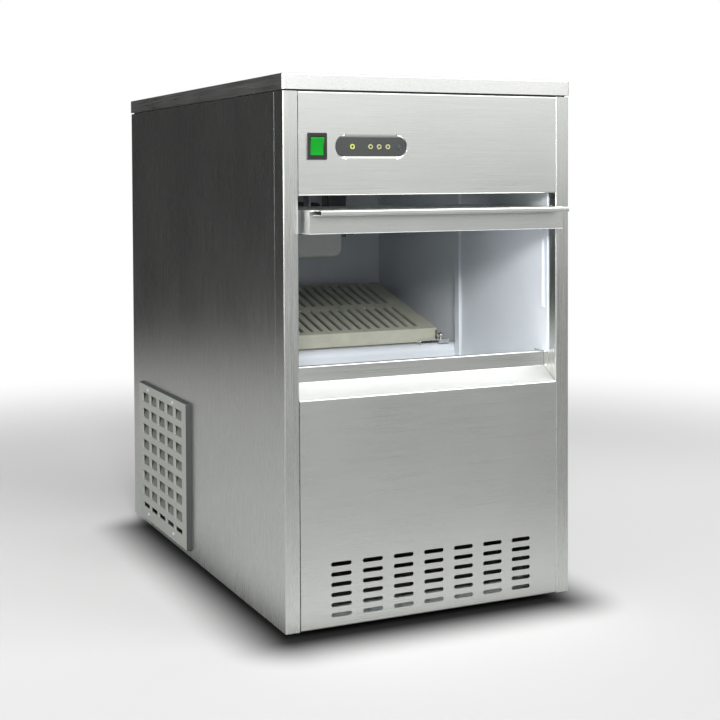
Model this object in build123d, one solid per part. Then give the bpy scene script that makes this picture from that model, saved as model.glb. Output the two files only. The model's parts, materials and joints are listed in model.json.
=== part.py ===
from build123d import *
import os
from math import radians, tan

# Under-counter ice cube machine: a stainless cabinet with a foamed plastic bin behind a lift-up door,
# an evaporator with fingers that dip into a tilting water tray, a sloped drain grid over the reservoir,
# and the cooling set in the bottom.
# Millimetres. X is across, Y runs from the front plane to the back, Z is up from the cabinet's lower edge.

# Cabinet
WIDTH = 380.0
DEPTH = 630.0
FOOT_GAP = 14.0           # floor to the cabinet's lower edge
SHEET = 1.0
FOLD_R = 1.2              # centre-line radius of a fold
FLANGE = 12.0             # return flange of a folded panel
PANEL_GAP = 0.3           # play between neighbouring panels
COVER_LIP = 18.0
COVER_SEAL = 2.0          # thickness of the strip under the cover
SEAL_W, SEAL_INSET = 7.0, 3.5
COVER_OVERHANG = 1.0
POST_W = 18.5
POST_SIDE = 27.0
POST_RETURN = 17.0
HALF = WIDTH / 2
INNER = HALF - SHEET
FRONT_HALF = HALF - POST_W            # between the posts

# Levels, built up from the cabinet's lower edge
MACHINE_H = 225.0         # under the foam at the back, over the cooling set
BIN_UNDER = 130.0         # under the foam of the bin
FOAM_UNDER = 18.0
LINER_T = 2.0
LEDGE_RISE = 40.0         # sump floor to the ledge
SILL_RISE = 14.5          # ledge to the sill
OPENING_H = 198.0         # sill to the control panel
FRONT_PANEL_H = 118.5
LID_FOAM = 54.0
BIN_FLOOR = BIN_UNDER + FOAM_UNDER + LINER_T
SUMP_FLOOR = MACHINE_H + FOAM_UNDER + LINER_T
LEDGE_Z = SUMP_FLOOR + LEDGE_RISE
SILL_Z = LEDGE_Z + SILL_RISE
DOOR_TOP_Z = SILL_Z + OPENING_H       # lower edge of the control panel
PANEL_TOP = DOOR_TOP_Z + FRONT_PANEL_H
COVER_BOTTOM = PANEL_TOP + COVER_SEAL
HEIGHT = COVER_BOTTOM + COVER_LIP
FOAM_TOP = PANEL_TOP - 4.0
LINER_TOP = FOAM_TOP - LID_FOAM - LINER_T

# Front openings
SILL_DEPTH = 28.0
SILL_BAND = 19.0          # height of the upright band under the sill
SLOPE_DROP = 16.5
SILL_FLANGE = 6.0
SLOPE_TOP_Z = SILL_Z - SILL_BAND
SLOPE_FOOT_Z = SLOPE_TOP_Z - SLOPE_DROP
VENT_COLUMNS, VENT_ROWS = 7, 6
VENT_L, VENT_H = 26.0, 5.0
VENT_PITCH_X, VENT_PITCH_Z = 40.2, 11.8
VENT_FIRST_Z = 14.0

# Control panel fittings
SWITCH_X, SWITCH_Z = -FRONT_HALF + 22.8, DOOR_TOP_Z + 56.2
BEZEL_W, BEZEL_H, BEZEL_T = 24.8, 30.7, 2.0
ROCKER_W, ROCKER_R = 16.2, 10.7
ROCKER_THROW = 8.0        # degrees each side of the middle
ROCKER_PIN_R, ROCKER_PIN_Y = 1.2, 1.0
SWITCH_BODY_W, SWITCH_BODY_H, SWITCH_BODY_D = 21.0, 27.0, 20.0
WINDOW_X, WINDOW_Z = -FRONT_HALF + 91.8, DOOR_TOP_Z + 56.0
WINDOW_W, WINDOW_H = 92.0, 29.3
WINDOW_SLOPE_X, WINDOW_SLOPE_Z = 0.8, 3.5
WINDOW_SINK = 2.2
WINDOW_T = 0.9
LAMP_R, LAMP_CORE_R = 3.5, 1.6
LAMP_X = [WINDOW_X - 23.6, WINDOW_X - 0.7, WINDOW_X + 10.4, WINDOW_X + 21.7]
BUTTON_X, BUTTON_R, BUTTON_TRAVEL = WINDOW_X + 37.0, 3.2, 0.8
BOARD_Y, BOARD_T, BOARD_H = 9.0, 1.6, 44.0
BOARD_POST_R = 2.5
BOX_SIDE, BOX_DEPTH, BOX_Z, BOX_WALL = 25.0, 100.0, DOOR_TOP_Z + 10.5, 1.2
BOX_HALF = HALF - BOX_SIDE
POWER_L, POWER_H, POWER_SIDE, POWER_RISE = 120.0, 76.0, 35.0, 14.0

# Side grille
GRILLE_L, GRILLE_REAR = 235.0, 48.0
GRILLE_Y0, GRILLE_Y1 = DEPTH - GRILLE_REAR - GRILLE_L, DEPTH - GRILLE_REAR
GRILLE_Z0, GRILLE_Z1 = 8.0, MACHINE_H - 13.0
GRILLE_RAISE, GRILLE_EDGE = 6.0, 5.0
GRILLE_WALL = 2.0
GRILLE_COLUMNS, GRILLE_ROWS = 5, 8
GRILLE_TOP_ROW, GRILLE_LOW_ROW = GRILLE_Z1 - 21.0, GRILLE_Z0 + 19.2
GRILLE_PITCH_Y = (GRILLE_L - 75.0) / (GRILLE_COLUMNS - 1)
GRILLE_PITCH_Z = (GRILLE_TOP_ROW - GRILLE_LOW_ROW) / (GRILLE_ROWS - 1)
GRILLE_HOLE_W, GRILLE_HOLE_H = GRILLE_PITCH_Y - 9.0, GRILLE_PITCH_Z - 11.6
GRILLE_SKIRT = 5.0        # how far the skirt reaches in through the panel
GRILLE_SCREW_R, GRILLE_SHANK_R = 2.8, 1.9
GRILLE_SCREW_FRONT, GRILLE_SCREW_REAR = 62.5, 50.0
GRILLE_SCREW_LOW, GRILLE_SCREW_HIGH = 10.5, 8.5

# Plastic liner and foam
WALL_SPACE = 16.0         # panel face to liner face, at each side
LINER_HALF = HALF - WALL_SPACE        # inner half width
BIN_FRONT = POST_SIDE + 23.0
RISER_Y = 250.0
SUMP_Y = RISER_Y + 16.0
CHAMBER_BACK = DEPTH - 120.0
LINER_R = 10.0
FOAM_BACK = 15.0
BIN_DRAIN_R = 8.0
PLAY = 0.3                # around a pipe or plug that passes through a wall

# Door and its guides: two pins a side, one pair in the upright groove and one in the level groove
GUIDE_T, GUIDE_GROOVE = 4.0, 3.0
GUIDE_X = LINER_HALF - GUIDE_T
DOOR_SIDE_GAP = 2.8
DOOR_HALF = GUIDE_X - DOOR_SIDE_GAP
DOOR_T = 27.0
DOOR_SKIN = 0.8
DOOR_PAN, DOOR_FIELD = 4.0, 2.0   # rim of the moulded inner face, and its sunk field
DOOR_MARGIN = 22.0                # edge to the sunk field
DOOR_FRONT_Y = -21.9      # front edge of the open door
DOOR_TOP_OPEN = DOOR_TOP_Z - 16.0     # upper face of the open door
DOOR_CLOSED_Y = 5.0       # how far the closed door's face stands behind the front plane
DOOR_LENGTH = 182.0
HANDLE_REACH, HANDLE_T, HANDLE_HALF = 22.0, 6.0, DOOR_HALF - 5.2
GUIDE_Y = 24.7            # line of the upright groove
PIN_R, PIN_TIP = 4.6, 2.7
GROOVE_PLAY = 0.3         # each side of a pin
GROOVE_HALF = PIN_R + GROOVE_PLAY
PIN_SPACING = 102.8
PIN_SPIGOT_R, PIN_SPIGOT_L = 2.5, 10.0
BUTTON_PLUG_R = 4.5
RUNNING = 0.05            # radial play of a running fit
PIN_DEPTH = GUIDE_Y - DOOR_CLOSED_Y   # pin line behind the door's face
GUIDE_Z = DOOR_TOP_OPEN - PIN_DEPTH   # line of the level groove
DOOR_INNER_Z = DOOR_TOP_OPEN - DOOR_T
DOOR_BACK_Y = DOOR_FRONT_Y + DOOR_LENGTH

# Rib between bin and chamber
RIB_T, RIB_PROUD, RIB_BEAM = 12.5, 8.0, 16.0
RIB_Y1 = RISER_Y - 0.5
RIB_Y0 = RIB_Y1 - RIB_T
GUIDE_BACK_Y = RIB_Y0 - 1.0

# Drain grid and reservoir
GRID_HALF = LINER_HALF - 24.0
GRID_Y0, GRID_Y1 = SUMP_Y + 6.0, CHAMBER_BACK - 43.0
GRID_Z0 = LEDGE_Z + 20.0
GRID_Z1 = GRID_Z0 + 51.0
GRID_SLOPE = (GRID_Z1 - GRID_Z0) / (GRID_Y1 - GRID_Y0)
GRID_T, GRID_LIP, GRID_SKIRT = 3.0, 19.0, 12.0
GRID_SLOTS, GRID_SLOT_W = 18, 6.0
GRID_PITCH = 2 * (GRID_HALF - 27.6) / (GRID_SLOTS - 1)
GRID_MARGIN, GRID_BAR = 10.0, 14.0
TANK_HALF, TANK_WALL = GRID_HALF - 5.0, 3.0
TANK_Y0, TANK_Y1 = GRID_Y0 + 5.0, CHAMBER_BACK - 5.0
TANK_STEP_Z = GRID_Z1 - 11.0
GRID_SEAT = 0.2           # between the grid and the tank's rim

# Water tray, its drive and the evaporator above it
TRAY_X0, TRAY_X1 = -HALF + 49.0, HALF - 139.0
TRAY_Y, TRAY_Z = CHAMBER_BACK - 60.0, GRID_Z1 + 82.0      # pivot line
TRAY_DEPTH, TRAY_HEIGHT, TRAY_WALL = 70.0, 36.0, 2.5
TRAY_END_R, TRAY_EDGE_R = 14.0, 8.0
TRAY_LUG_R, TRAY_LUG_T = 9.0, 3.0
SHAFT_R = 4.0
FINGERS, FINGER_R = 9, 5.0
FINGER_PITCH = (TRAY_X1 - TRAY_X0 - 48.0) / (FINGERS - 1)
FINGER_X0 = TRAY_X0 + 17.0
FINGER_TIP_Z = TRAY_Z - 29.0
FINGER_END_X = FINGER_X0 + (FINGERS - 1) * FINGER_PITCH + 10.0
HEADER_R, HEADER_Z = 6.0, TRAY_Z + 11.0
HEADER_Y = [TRAY_Y - 52.0, TRAY_Y - 24.0]
FRAME_T, FRAME_GAP, FRAME_DROP = 2.0, 8.0, 7.0
MOTOR_R, MOTOR_L, MOTOR_RISE = 19.0, 40.0, 12.0

# Water circuit
PUMP_X, PUMP_Y, PUMP_R = -TANK_HALF + 27.0, TANK_Y1 - 20.0, 15.0
PUMP_H, PUMP_NECK_H, PUMP_NECK_R = 42.0, 10.0, 10.0
PUMP_OUTLET_H = 8.0
HOSE_R = 4.0
HOSE_X, HOSE_Z = TRAY_X0 - 17.0, TRAY_Z + 24.0
NOZZLE_X, NOZZLE_Y, NOZZLE_Z = TRAY_X0 + 13.0, TRAY_Y - 10.0, TRAY_Z + 9.0
FILL_Z = GRID_Z0 + 25.0
SENSOR_X1, SENSOR_L, SENSOR_T = LINER_HALF - 16.0, 46.0, 1.2
SENSOR_SCREW_X = SENSOR_X1 - 10.0
SENSOR_SCREW_R = 2.2

# Cooling set
COMP_X, COMP_Y, COMP_R = HALF - 102.0, DEPTH - 138.0, 70.0
COMP_Z0, COMP_Z1 = 17.5, 172.0
COMP_FEET, GROMMET_R = 62.0, 9.0
COMP_STUB_Z = 80.0
COND_X0, COND_T = -HALF + 12.0, 28.0
COND_X1 = COND_X0 + COND_T
COND_L, COND_REAR = 190.0, 68.0
COND_Y0, COND_Y1 = DEPTH - COND_REAR - COND_L, DEPTH - COND_REAR
COND_Z0, COND_Z1 = 22.0, MACHINE_H - 27.0
COND_FINS = 24
COND_TUBE = 18.0          # from the condenser's edge to its tube ends
SHROUD_X, SHROUD_T, SHROUD_RING = COND_X1 + 0.3, 1.2, 16.0
FAN_Y, FAN_Z = (COND_Y0 + COND_Y1) / 2, (COND_Z0 + COND_Z1) / 2
FAN_R, FAN_HUB_R, FAN_BLADES = (COND_Z1 - COND_Z0) / 2 - 12.0, 20.0, 5
FAN_GAP, FAN_PITCH = 3.0, 32.0
FAN_X0 = SHROUD_X + 5.7
FAN_X1 = FAN_X0 + 22.0
FAN_MOTOR_R, FAN_MOTOR_L, FAN_SHAFT_R = 28.0, 42.0, 3.0
DRIER_X0, DRIER_L = -50.0, 80.0
DRIER_Y, DRIER_Z, DRIER_R = COND_Y0 - 32.0, 40.0, 11.0
PIPE_R, THIN_PIPE_R, BEND_R = 5.0, 3.0, 8.0
SUCTION_X, SUCTION_Z = TRAY_X1 - 5.0, LINER_TOP - 56.0
FEED_X, FEED_Z = TRAY_X1 - 27.0, TRAY_Z + 40.0
PIPE_DUCT_Y = DEPTH - 30.0
DISCHARGE_Z = MACHINE_H - 17.0

# Base, feet and rear connections
PAN_T, PAN_WALL = 1.5, 14.0
FOOT_X, FOOT_FRONT_Y, FOOT_REAR_Y = HALF - 38.0, 52.0, DEPTH - 32.0
FOOT_R, STUD_R, STUD_TOP, NUT_H = 17.0, 5.0, 24.0, 10.0
INLET_X, INLET_Z, INLET_R, INLET_L = HALF - 68.0, 62.0, 13.2, 14.0
DRAIN_X, DRAIN_Z, DRAIN_R, DRAIN_BORE_R, DRAIN_L = -20.0, 60.0, 9.5, 7.0, 14.0
NECK = 0.5                # from the back panel to where a connection has its full size
CORD_X, CORD_Z, CORD_R, CORD_BUSH_R = -HALF + 60.0, 55.0, 4.0, 9.0
LOUVRE_COLUMNS, LOUVRE_ROWS = 3, 9
LOUVRE_W, LOUVRE_H, LOUVRE_PITCH = 70.0, 4.0, 16.0

MID_Y = (DOOR_FRONT_Y - HANDLE_REACH + DEPTH + INLET_L) / 2


def block(x0, x1, y0, y1, z0, z1):
    return Pos((x0 + x1) / 2, (y0 + y1) / 2, (z0 + z1) / 2) * Box(x1 - x0, y1 - y0, z1 - z0)


def rod_x(x0, x1, y, z, r):
    return Pos((x0 + x1) / 2, y, z) * Rot(0, 90, 0) * Cylinder(r, x1 - x0)


def rod_y(y0, y1, x, z, r):
    return Pos(x, (y0 + y1) / 2, z) * Rot(90, 0, 0) * Cylinder(r, y1 - y0)


def rod_z(z0, z1, x, y, r):
    return Pos(x, y, (z0 + z1) / 2) * Cylinder(r, z1 - z0)


def run_x(section, x0, x1):
    # a section drawn with (y, z) points, extruded across the machine
    return extrude(Plane.YZ.offset(x0) * section, amount=x1 - x0)


def run_z(section, z0, z1):
    return extrude(Plane.XY.offset(z0) * section, amount=z1 - z0)


def run_y(section, y0, y1):
    # a section drawn with (x, z) points, extruded towards the back
    return extrude(Plane.XZ.offset(-y0) * section, amount=y0 - y1)


def outline(*points):
    return make_face(Polyline(*points, close=True))


def folded(*points, thick=SHEET, radius=FOLD_R):
    # the section of a folded sheet, from its centre line
    return trace(FilletPolyline(*points, radius=radius), line_width=thick)


def mirrored(shape):
    return mirror(shape, about=Plane.YZ)


def pipe(radius, bend, *points):
    path = FilletPolyline(*points, radius=bend)
    start = Plane(origin=path @ 0, z_dir=path % 0)
    return sweep(start * Circle(radius), path=path)


def grid_top(y):
    return GRID_Z0 + (y - GRID_Y0) * GRID_SLOPE


def base_pan():
    lo, hi = POST_SIDE + 2 * SHEET, DEPTH - 2 * SHEET
    half = INNER - 0.1
    tray = block(-half, half, lo, hi, SHEET, SHEET + PAN_WALL)
    tray -= block(-half + PAN_T, half - PAN_T, lo + PAN_T, hi - PAN_T, SHEET + PAN_T, HEIGHT)
    for x, y in foot_places():
        tray += rod_z(SHEET + PAN_T, SHEET + PAN_T + NUT_H, x, y, STUD_R * 2)
        tray -= rod_z(-FOOT_GAP, HEIGHT, x, y, STUD_R + RUNNING)
    return tray


def foot_places():
    return [(sx * FOOT_X, y) for y in (FOOT_FRONT_Y, FOOT_REAR_Y) for sx in (-1, 1)]


def foot(x, y):
    top = SHEET - PANEL_GAP
    pad = rod_z(-FOOT_GAP, top, 0, 0, FOOT_R)
    pad = chamfer(pad.edges().group_by(Axis.Z)[0], 1.5)
    pad = chamfer(pad.edges().group_by(Axis.Z)[-1], 2.5)
    stud = rod_z(top, STUD_TOP, 0, 0, STUD_R)
    return Pos(x, y, 0) * (pad + stud)


def side_panel():
    # the left panel: a flat sheet with a return flange on all four edges
    y0, y1 = POST_SIDE + PANEL_GAP, DEPTH - SHEET
    sheet = block(-HALF, -INNER, y0, y1, 0, PANEL_TOP)
    inner = -INNER + FLANGE
    sheet += block(-HALF, inner, y0, y0 + SHEET, 0, PANEL_TOP)
    sheet += block(-HALF, inner, y1 - SHEET, y1, 0, PANEL_TOP)
    sheet += block(-HALF, inner, y0, y1, 0, SHEET)
    sheet += block(-HALF, inner, y0, y1, PANEL_TOP - SHEET, PANEL_TOP)
    return sheet


def grille_hole():
    inset = GRILLE_EDGE + 2 * GRILLE_WALL
    return GRILLE_Y0 + inset, GRILLE_Y1 - inset, GRILLE_Z0 + inset, GRILLE_Z1 - inset


def left_side_panel():
    y0, y1, z0, z1 = grille_hole()
    return side_panel() - block(-HALF - SHEET, -INNER + SHEET / 2, y0, y1, z0, z1)


def right_side_panel():
    return mirrored(side_panel())


def back_panel():
    sheet = block(-INNER, INNER, DEPTH - SHEET, DEPTH, 0, PANEL_TOP)
    sheet += block(-INNER + FLANGE, INNER - FLANGE, DEPTH - FLANGE, DEPTH, PANEL_TOP - SHEET, PANEL_TOP)
    for i in range(LOUVRE_COLUMNS):
        for j in range(LOUVRE_ROWS):
            x = (i - (LOUVRE_COLUMNS - 1) / 2) * (LOUVRE_W + LOUVRE_PITCH)
            z = GRILLE_Z1 - j * LOUVRE_PITCH
            sheet -= block(x - LOUVRE_W / 2, x + LOUVRE_W / 2, DEPTH - 2, DEPTH + 1, z, z + LOUVRE_H)
    sheet -= rod_y(DEPTH - 3, DEPTH + 1, INLET_X, INLET_Z, INLET_R + 0.3)
    sheet -= rod_y(DEPTH - 3, DEPTH + 1, DRAIN_X, DRAIN_Z, DRAIN_R + 0.3)
    sheet -= rod_y(DEPTH - 3, DEPTH + 1, CORD_X, CORD_Z, CORD_BUSH_R - 2)
    return sheet


def top_cover():
    out = COVER_OVERHANG
    shell = block(-HALF - out, HALF + out, -out, DEPTH + out, COVER_BOTTOM, HEIGHT)
    corners = shell.edges().filter_by(Axis.Z)
    shell = fillet(corners, 3.0)
    shell = fillet(shell.faces().sort_by(Axis.Z)[-1].edges(), 1.5)
    inner = HALF + out - SHEET
    shell -= block(-inner, inner, SHEET - out, DEPTH + out - SHEET, COVER_BOTTOM + SHEET, HEIGHT - SHEET)
    rim = inner - FLANGE
    return shell - block(-rim, rim, FLANGE, DEPTH - FLANGE, COVER_BOTTOM - 1, COVER_BOTTOM + 2 * SHEET)


def cover_seal():
    x, y = HALF - SEAL_INSET, SEAL_INSET
    ring = block(-x, x, y, DEPTH - y, PANEL_TOP, COVER_BOTTOM)
    x, y = x - SEAL_W, y + SEAL_W
    return ring - block(-x, x, y, DEPTH - y, PANEL_TOP - 1, COVER_BOTTOM + 1)


def front_post():
    # the left post: a folded channel with a deeper tab beside the finger recess
    h = SHEET / 2
    fold = folded((-HALF + h, POST_SIDE), (-HALF + h, h), (-FRONT_HALF - h, h),
                  (-FRONT_HALF - h, POST_RETURN))
    post = run_z(fold, 0, PANEL_TOP)
    return post + block(-FRONT_HALF - SHEET, -FRONT_HALF, POST_RETURN - 0.1, SILL_DEPTH, 0, SILL_Z)


def vent_cutters():
    section = SlotOverall(VENT_L, VENT_H)
    for i in range(VENT_COLUMNS):
        for j in range(VENT_ROWS):
            x = (i - (VENT_COLUMNS - 1) / 2) * VENT_PITCH_X
            z = VENT_FIRST_Z + j * VENT_PITCH_Z
            yield run_y(Pos(x, z) * section, -1, 3)


def lower_front_panel():
    h = SHEET / 2
    band = SILL_DEPTH + h
    fold = folded((FLANGE * 3, h), (h, h), (h, SLOPE_FOOT_Z), (band, SLOPE_TOP_Z), (band, SILL_Z - h),
                  (SILL_DEPTH + SILL_FLANGE, SILL_Z - h))
    half = FRONT_HALF - PANEL_GAP
    panel = run_x(fold, -half, half)
    return panel - list(vent_cutters())


def window_pocket(grow, y0, y1):
    wide, high = WINDOW_W + 2 * grow, WINDOW_H + 2 * grow
    mouth = Plane.XZ.offset(-y0) * Pos(WINDOW_X, WINDOW_Z) * SlotOverall(wide, high)
    bottom = SlotOverall(wide - 2 * WINDOW_SLOPE_X, high - 2 * WINDOW_SLOPE_Z)
    floor = Plane.XZ.offset(-y1) * Pos(WINDOW_X, WINDOW_Z) * bottom
    return loft([mouth, floor])


def control_panel():
    h = SHEET / 2
    lo, hi = DOOR_TOP_Z + h, PANEL_TOP - h
    half = FRONT_HALF - PANEL_GAP
    panel = run_x(folded((FLANGE, lo), (h, lo), (h, hi), (FLANGE, hi)), -half, half)
    panel += window_pocket(SHEET, SHEET / 2, WINDOW_SINK + SHEET)
    panel -= window_pocket(0, 0, WINDOW_SINK)
    w, z = SWITCH_BODY_W / 2 + 0.2, SWITCH_BODY_H / 2 + 0.2
    panel -= block(SWITCH_X - w, SWITCH_X + w, -1, 3, SWITCH_Z - z, SWITCH_Z + z)
    for x in LAMP_X:
        panel -= rod_y(0, 6, x, WINDOW_Z, LAMP_R + 0.2)
    return panel - rod_y(0, 6, BUTTON_X, WINDOW_Z, BUTTON_R + 0.3)


def indicator_window():
    w, high = WINDOW_W - 2 * WINDOW_SLOPE_X - PLAY, WINDOW_H - 2 * WINDOW_SLOPE_Z - PLAY
    plate = run_y(Pos(WINDOW_X, WINDOW_Z) * SlotOverall(w, high), WINDOW_SINK - WINDOW_T, WINDOW_SINK)
    for x in LAMP_X:
        plate -= rod_y(0, 6, x, WINDOW_Z, LAMP_R + 0.1)
    return plate - rod_y(0, 6, BUTTON_X, WINDOW_Z, BUTTON_R + 0.3)


def indicator_lamps():
    front = WINDOW_SINK - WINDOW_T - 0.3
    lamps = []
    for x in LAMP_X:
        lamp = rod_y(front, BOARD_Y, x, WINDOW_Z, LAMP_R)
        lamps.append(lamp - rod_y(front - 1, front + 1, x, WINDOW_Z, LAMP_CORE_R))
    return Compound(children=lamps)


def select_button():
    front = WINDOW_SINK - WINDOW_T - 0.4
    cap = rod_y(front, BOARD_Y - BUTTON_TRAVEL - 0.2, BUTTON_X, WINDOW_Z, BUTTON_R)
    return chamfer(cap.edges().sort_by(Axis.Y)[0], 0.4)


def display_board():
    x0, x1 = LAMP_X[0] - 14, BUTTON_X + 10
    rise = BOARD_H / 2
    board = block(x0, x1, BOARD_Y, BOARD_Y + BOARD_T, WINDOW_Z - rise, WINDOW_Z + rise)
    inset = BOARD_POST_R + 1
    for x in (x0 + inset, x1 - inset):
        for z in (WINDOW_Z - rise + inset, WINDOW_Z + rise - inset):
            board += rod_y(SHEET, BOARD_Y, x, z, BOARD_POST_R)
    socket = block(LAMP_X[0] + 8, LAMP_X[1] + 5, BOARD_Y + BOARD_T, BOARD_Y + 9, WINDOW_Z - 16, WINDOW_Z - 4)
    return board + socket


def switch_body():
    body = block(SWITCH_X - SWITCH_BODY_W / 2, SWITCH_X + SWITCH_BODY_W / 2, -0.1, SWITCH_BODY_D,
                 SWITCH_Z - SWITCH_BODY_H / 2, SWITCH_Z + SWITCH_BODY_H / 2)
    bezel = block(SWITCH_X - BEZEL_W / 2, SWITCH_X + BEZEL_W / 2, -BEZEL_T, 0,
                  SWITCH_Z - BEZEL_H / 2, SWITCH_Z + BEZEL_H / 2)
    bezel = fillet(bezel.edges().filter_by(Axis.Y), 1.5)
    bezel = chamfer(bezel.faces().sort_by(Axis.Y)[0].edges(), 0.6)
    w, z = ROCKER_W / 2 + 0.25, ROCKER_R + 0.3
    body += bezel
    body -= block(SWITCH_X - w, SWITCH_X + w, -BEZEL_T - 1, 10, SWITCH_Z - z, SWITCH_Z + z)
    pin_end = w + ROCKER_PIN_R + 0.1
    body -= rod_x(SWITCH_X - pin_end, SWITCH_X + pin_end, ROCKER_PIN_Y, SWITCH_Z, ROCKER_PIN_R + RUNNING)
    for dz in (-7, 0, 7):
        body += block(SWITCH_X - 3, SWITCH_X + 3, SWITCH_BODY_D, SWITCH_BODY_D + 8,
                      SWITCH_Z + dz - 0.4, SWITCH_Z + dz + 0.4)
    return body


def switch_rocker():
    # a shallow V in front, ends struck from the pivot, resting with its lower half pressed in
    y = ROCKER_PIN_Y
    rise = ROCKER_R * tan(radians(ROCKER_THROW))
    face = -BEZEL_T + 0.6
    shape = outline((face, 0), (face - rise, ROCKER_R), (y + 3, ROCKER_R), (y + 3, -ROCKER_R),
                    (face - rise, -ROCKER_R))
    shape = shape & (Pos(y, 0) * Circle(ROCKER_R))
    rocker = run_x(shape, -ROCKER_W / 2, ROCKER_W / 2)
    w = ROCKER_W / 2 + ROCKER_PIN_R
    rocker += rod_x(-w, w, y, 0, ROCKER_PIN_R)
    turned = Pos(0, y, 0) * Rot(ROCKER_THROW, 0, 0) * Pos(0, -y, 0) * rocker
    return Pos(SWITCH_X, 0, SWITCH_Z) * turned


def control_box():
    w = BOX_HALF
    box = block(-w, w, SHEET, BOX_DEPTH, BOX_Z, FOAM_TOP)
    return box - block(-w + BOX_WALL, w - BOX_WALL, 0, BOX_DEPTH - BOX_WALL, BOX_Z + BOX_WALL, HEIGHT)


def power_board():
    y = BOX_DEPTH - BOX_WALL
    board_y = y - 8
    x1 = BOX_HALF - POWER_SIDE
    x0 = x1 - POWER_L
    z0 = BOX_Z + POWER_RISE
    z1 = z0 + POWER_H
    board = block(x0, x1, board_y, board_y + BOARD_T, z0, z1)
    for x in (x0 + 6, x1 - 6):
        for z in (z0 + 6, z1 - 6):
            board += rod_y(board_y + BOARD_T, y, x, z, 3)
    board += block(x0 + 10, x0 + 46, board_y - 28, board_y, z0 + 8, z0 + 40)
    for i in range(4):
        x = x0 + 56 + 15 * i
        board += block(x, x + 12, board_y - 16, board_y, z1 - 30, z1 - 11)
    return board + rod_y(board_y - 22, board_y, x0 + 66, z0 + 22, 8)


def side_grille():
    y0, y1, z0, z1 = GRILLE_Y0, GRILLE_Y1, GRILLE_Z0, GRILLE_Z1
    mid = Pos((y0 + y1) / 2, (z0 + z1) / 2)
    base = Plane.YZ.offset(-HALF) * mid * RectangleRounded(y1 - y0, z1 - z0, 10)
    e = 2 * GRILLE_EDGE
    face = Plane.YZ.offset(-HALF - GRILLE_RAISE) * mid * RectangleRounded(y1 - y0 - e, z1 - z0 - e, 6)
    plate = loft([base, face])
    h0, h1, v0, v1 = grille_hole()
    skirt = HALF - GRILLE_SKIRT
    plate += block(-HALF - 0.1, -skirt, h0 + 0.3, h1 - 0.3, v0 + 0.3, v1 - 0.3)
    w = GRILLE_WALL
    plate -= block(-HALF - GRILLE_RAISE + w, -skirt + 1, h0 + w, h1 - w, v0 + w, v1 - w)
    x0, x1 = -HALF - GRILLE_RAISE, -HALF - 0.5
    for j in range(GRILLE_ROWS):
        zc = GRILLE_TOP_ROW - j * GRILLE_PITCH_Z
        for i in range(GRILLE_COLUMNS):
            yc = (y0 + y1) / 2 + (i - (GRILLE_COLUMNS - 1) / 2) * GRILLE_PITCH_Y
            plate -= block(x0 - 1, x0 + w + 1, yc - GRILLE_HOLE_W / 2, yc + GRILLE_HOLE_W / 2,
                           zc - GRILLE_HOLE_H / 2, zc + GRILLE_HOLE_H / 2)
        top = zc + GRILLE_HOLE_H / 2 + 1
        vane = outline((x0 + w - 0.5, top), (x0 + w - 0.5, top + 2.4), (x1, top - 6.6), (x1, top - 9))
        plate += run_y(vane, h0 + w - 0.1, h1 - w + 0.1)
    for x, y, z in grille_screw_places():
        plate -= rod_x(x - 1, x + 9, y, z, GRILLE_SHANK_R + 0.1)
    return plate


def grille_screw_places():
    x = -HALF - GRILLE_RAISE
    return [(x, y, z) for y in (GRILLE_Y0 + GRILLE_SCREW_FRONT, GRILLE_Y1 - GRILLE_SCREW_REAR)
            for z in (GRILLE_Z0 + GRILLE_SCREW_LOW, GRILLE_Z1 - GRILLE_SCREW_HIGH)]


def grille_screws():
    screws = []
    for x, y, z in grille_screw_places():
        head = rod_x(x - 1.6, x, y, z, GRILLE_SCREW_R)
        head = chamfer(head.edges().sort_by(Axis.X)[0], 0.8)
        screws.append(head + rod_x(x, x + 4, y, z, GRILLE_SHANK_R))
    return Compound(children=screws)


def cavity_section():
    points = [(BIN_FRONT, BIN_FLOOR), (RISER_Y, BIN_FLOOR), (RISER_Y, LEDGE_Z), (SUMP_Y, LEDGE_Z),
              (SUMP_Y, SUMP_FLOOR), (CHAMBER_BACK, SUMP_FLOOR), (CHAMBER_BACK, HEIGHT),
              (-HALF, HEIGHT), (-HALF, SILL_Z - 3.5), (BIN_FRONT, SILL_Z - 3.5)]
    section = outline(*points)
    rounds = [v for v in section.vertices()
              if (abs(v.Y - BIN_FLOOR) < 1 and v.X < SUMP_Y)
              or (abs(v.X - RISER_Y) < 1 and v.Y > BIN_FLOOR + 1)]
    return fillet(rounds, LINER_R)


def liner():
    inner = cavity_section()
    outer = offset(inner, amount=LINER_T, kind=Kind.INTERSECTION)
    out = LINER_HALF + LINER_T
    tub = run_x(outer, -out, out) - run_x(inner, -LINER_HALF, LINER_HALF)
    low = block(-out, out, BIN_FRONT - LINER_T, CHAMBER_BACK + LINER_T, BIN_FLOOR - LINER_T, SILL_Z)
    front = POST_SIDE + 2 * SHEET + 0.5
    high = block(-out, out, front, CHAMBER_BACK + LINER_T, SILL_Z - 0.1, LINER_TOP)
    tub = tub & (low + high)
    tub -= rod_z(BIN_FLOOR - 4, BIN_FLOOR + 1, DRAIN_X, bin_drain_y(), BIN_DRAIN_R)
    tub -= rod_x(-out - 1, out + 1, GUIDE_Y, GUIDE_Z, BUTTON_PLUG_R + 1.5)
    for x, z, r in wall_pipes():
        tub -= rod_y(CHAMBER_BACK - 1, CHAMBER_BACK + 4, x, z, r + 0.3)
    return tub


def bin_drain_y():
    return (BIN_FRONT + RISER_Y) / 2


def wall_pipes():
    # the pipes that pass through the chamber's back wall, each as x, z and radius
    return [(SUCTION_X, SUCTION_Z, PIPE_R), (FEED_X, FEED_Z, THIN_PIPE_R), (INLET_X, FILL_Z, PIPE_R)]


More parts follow.
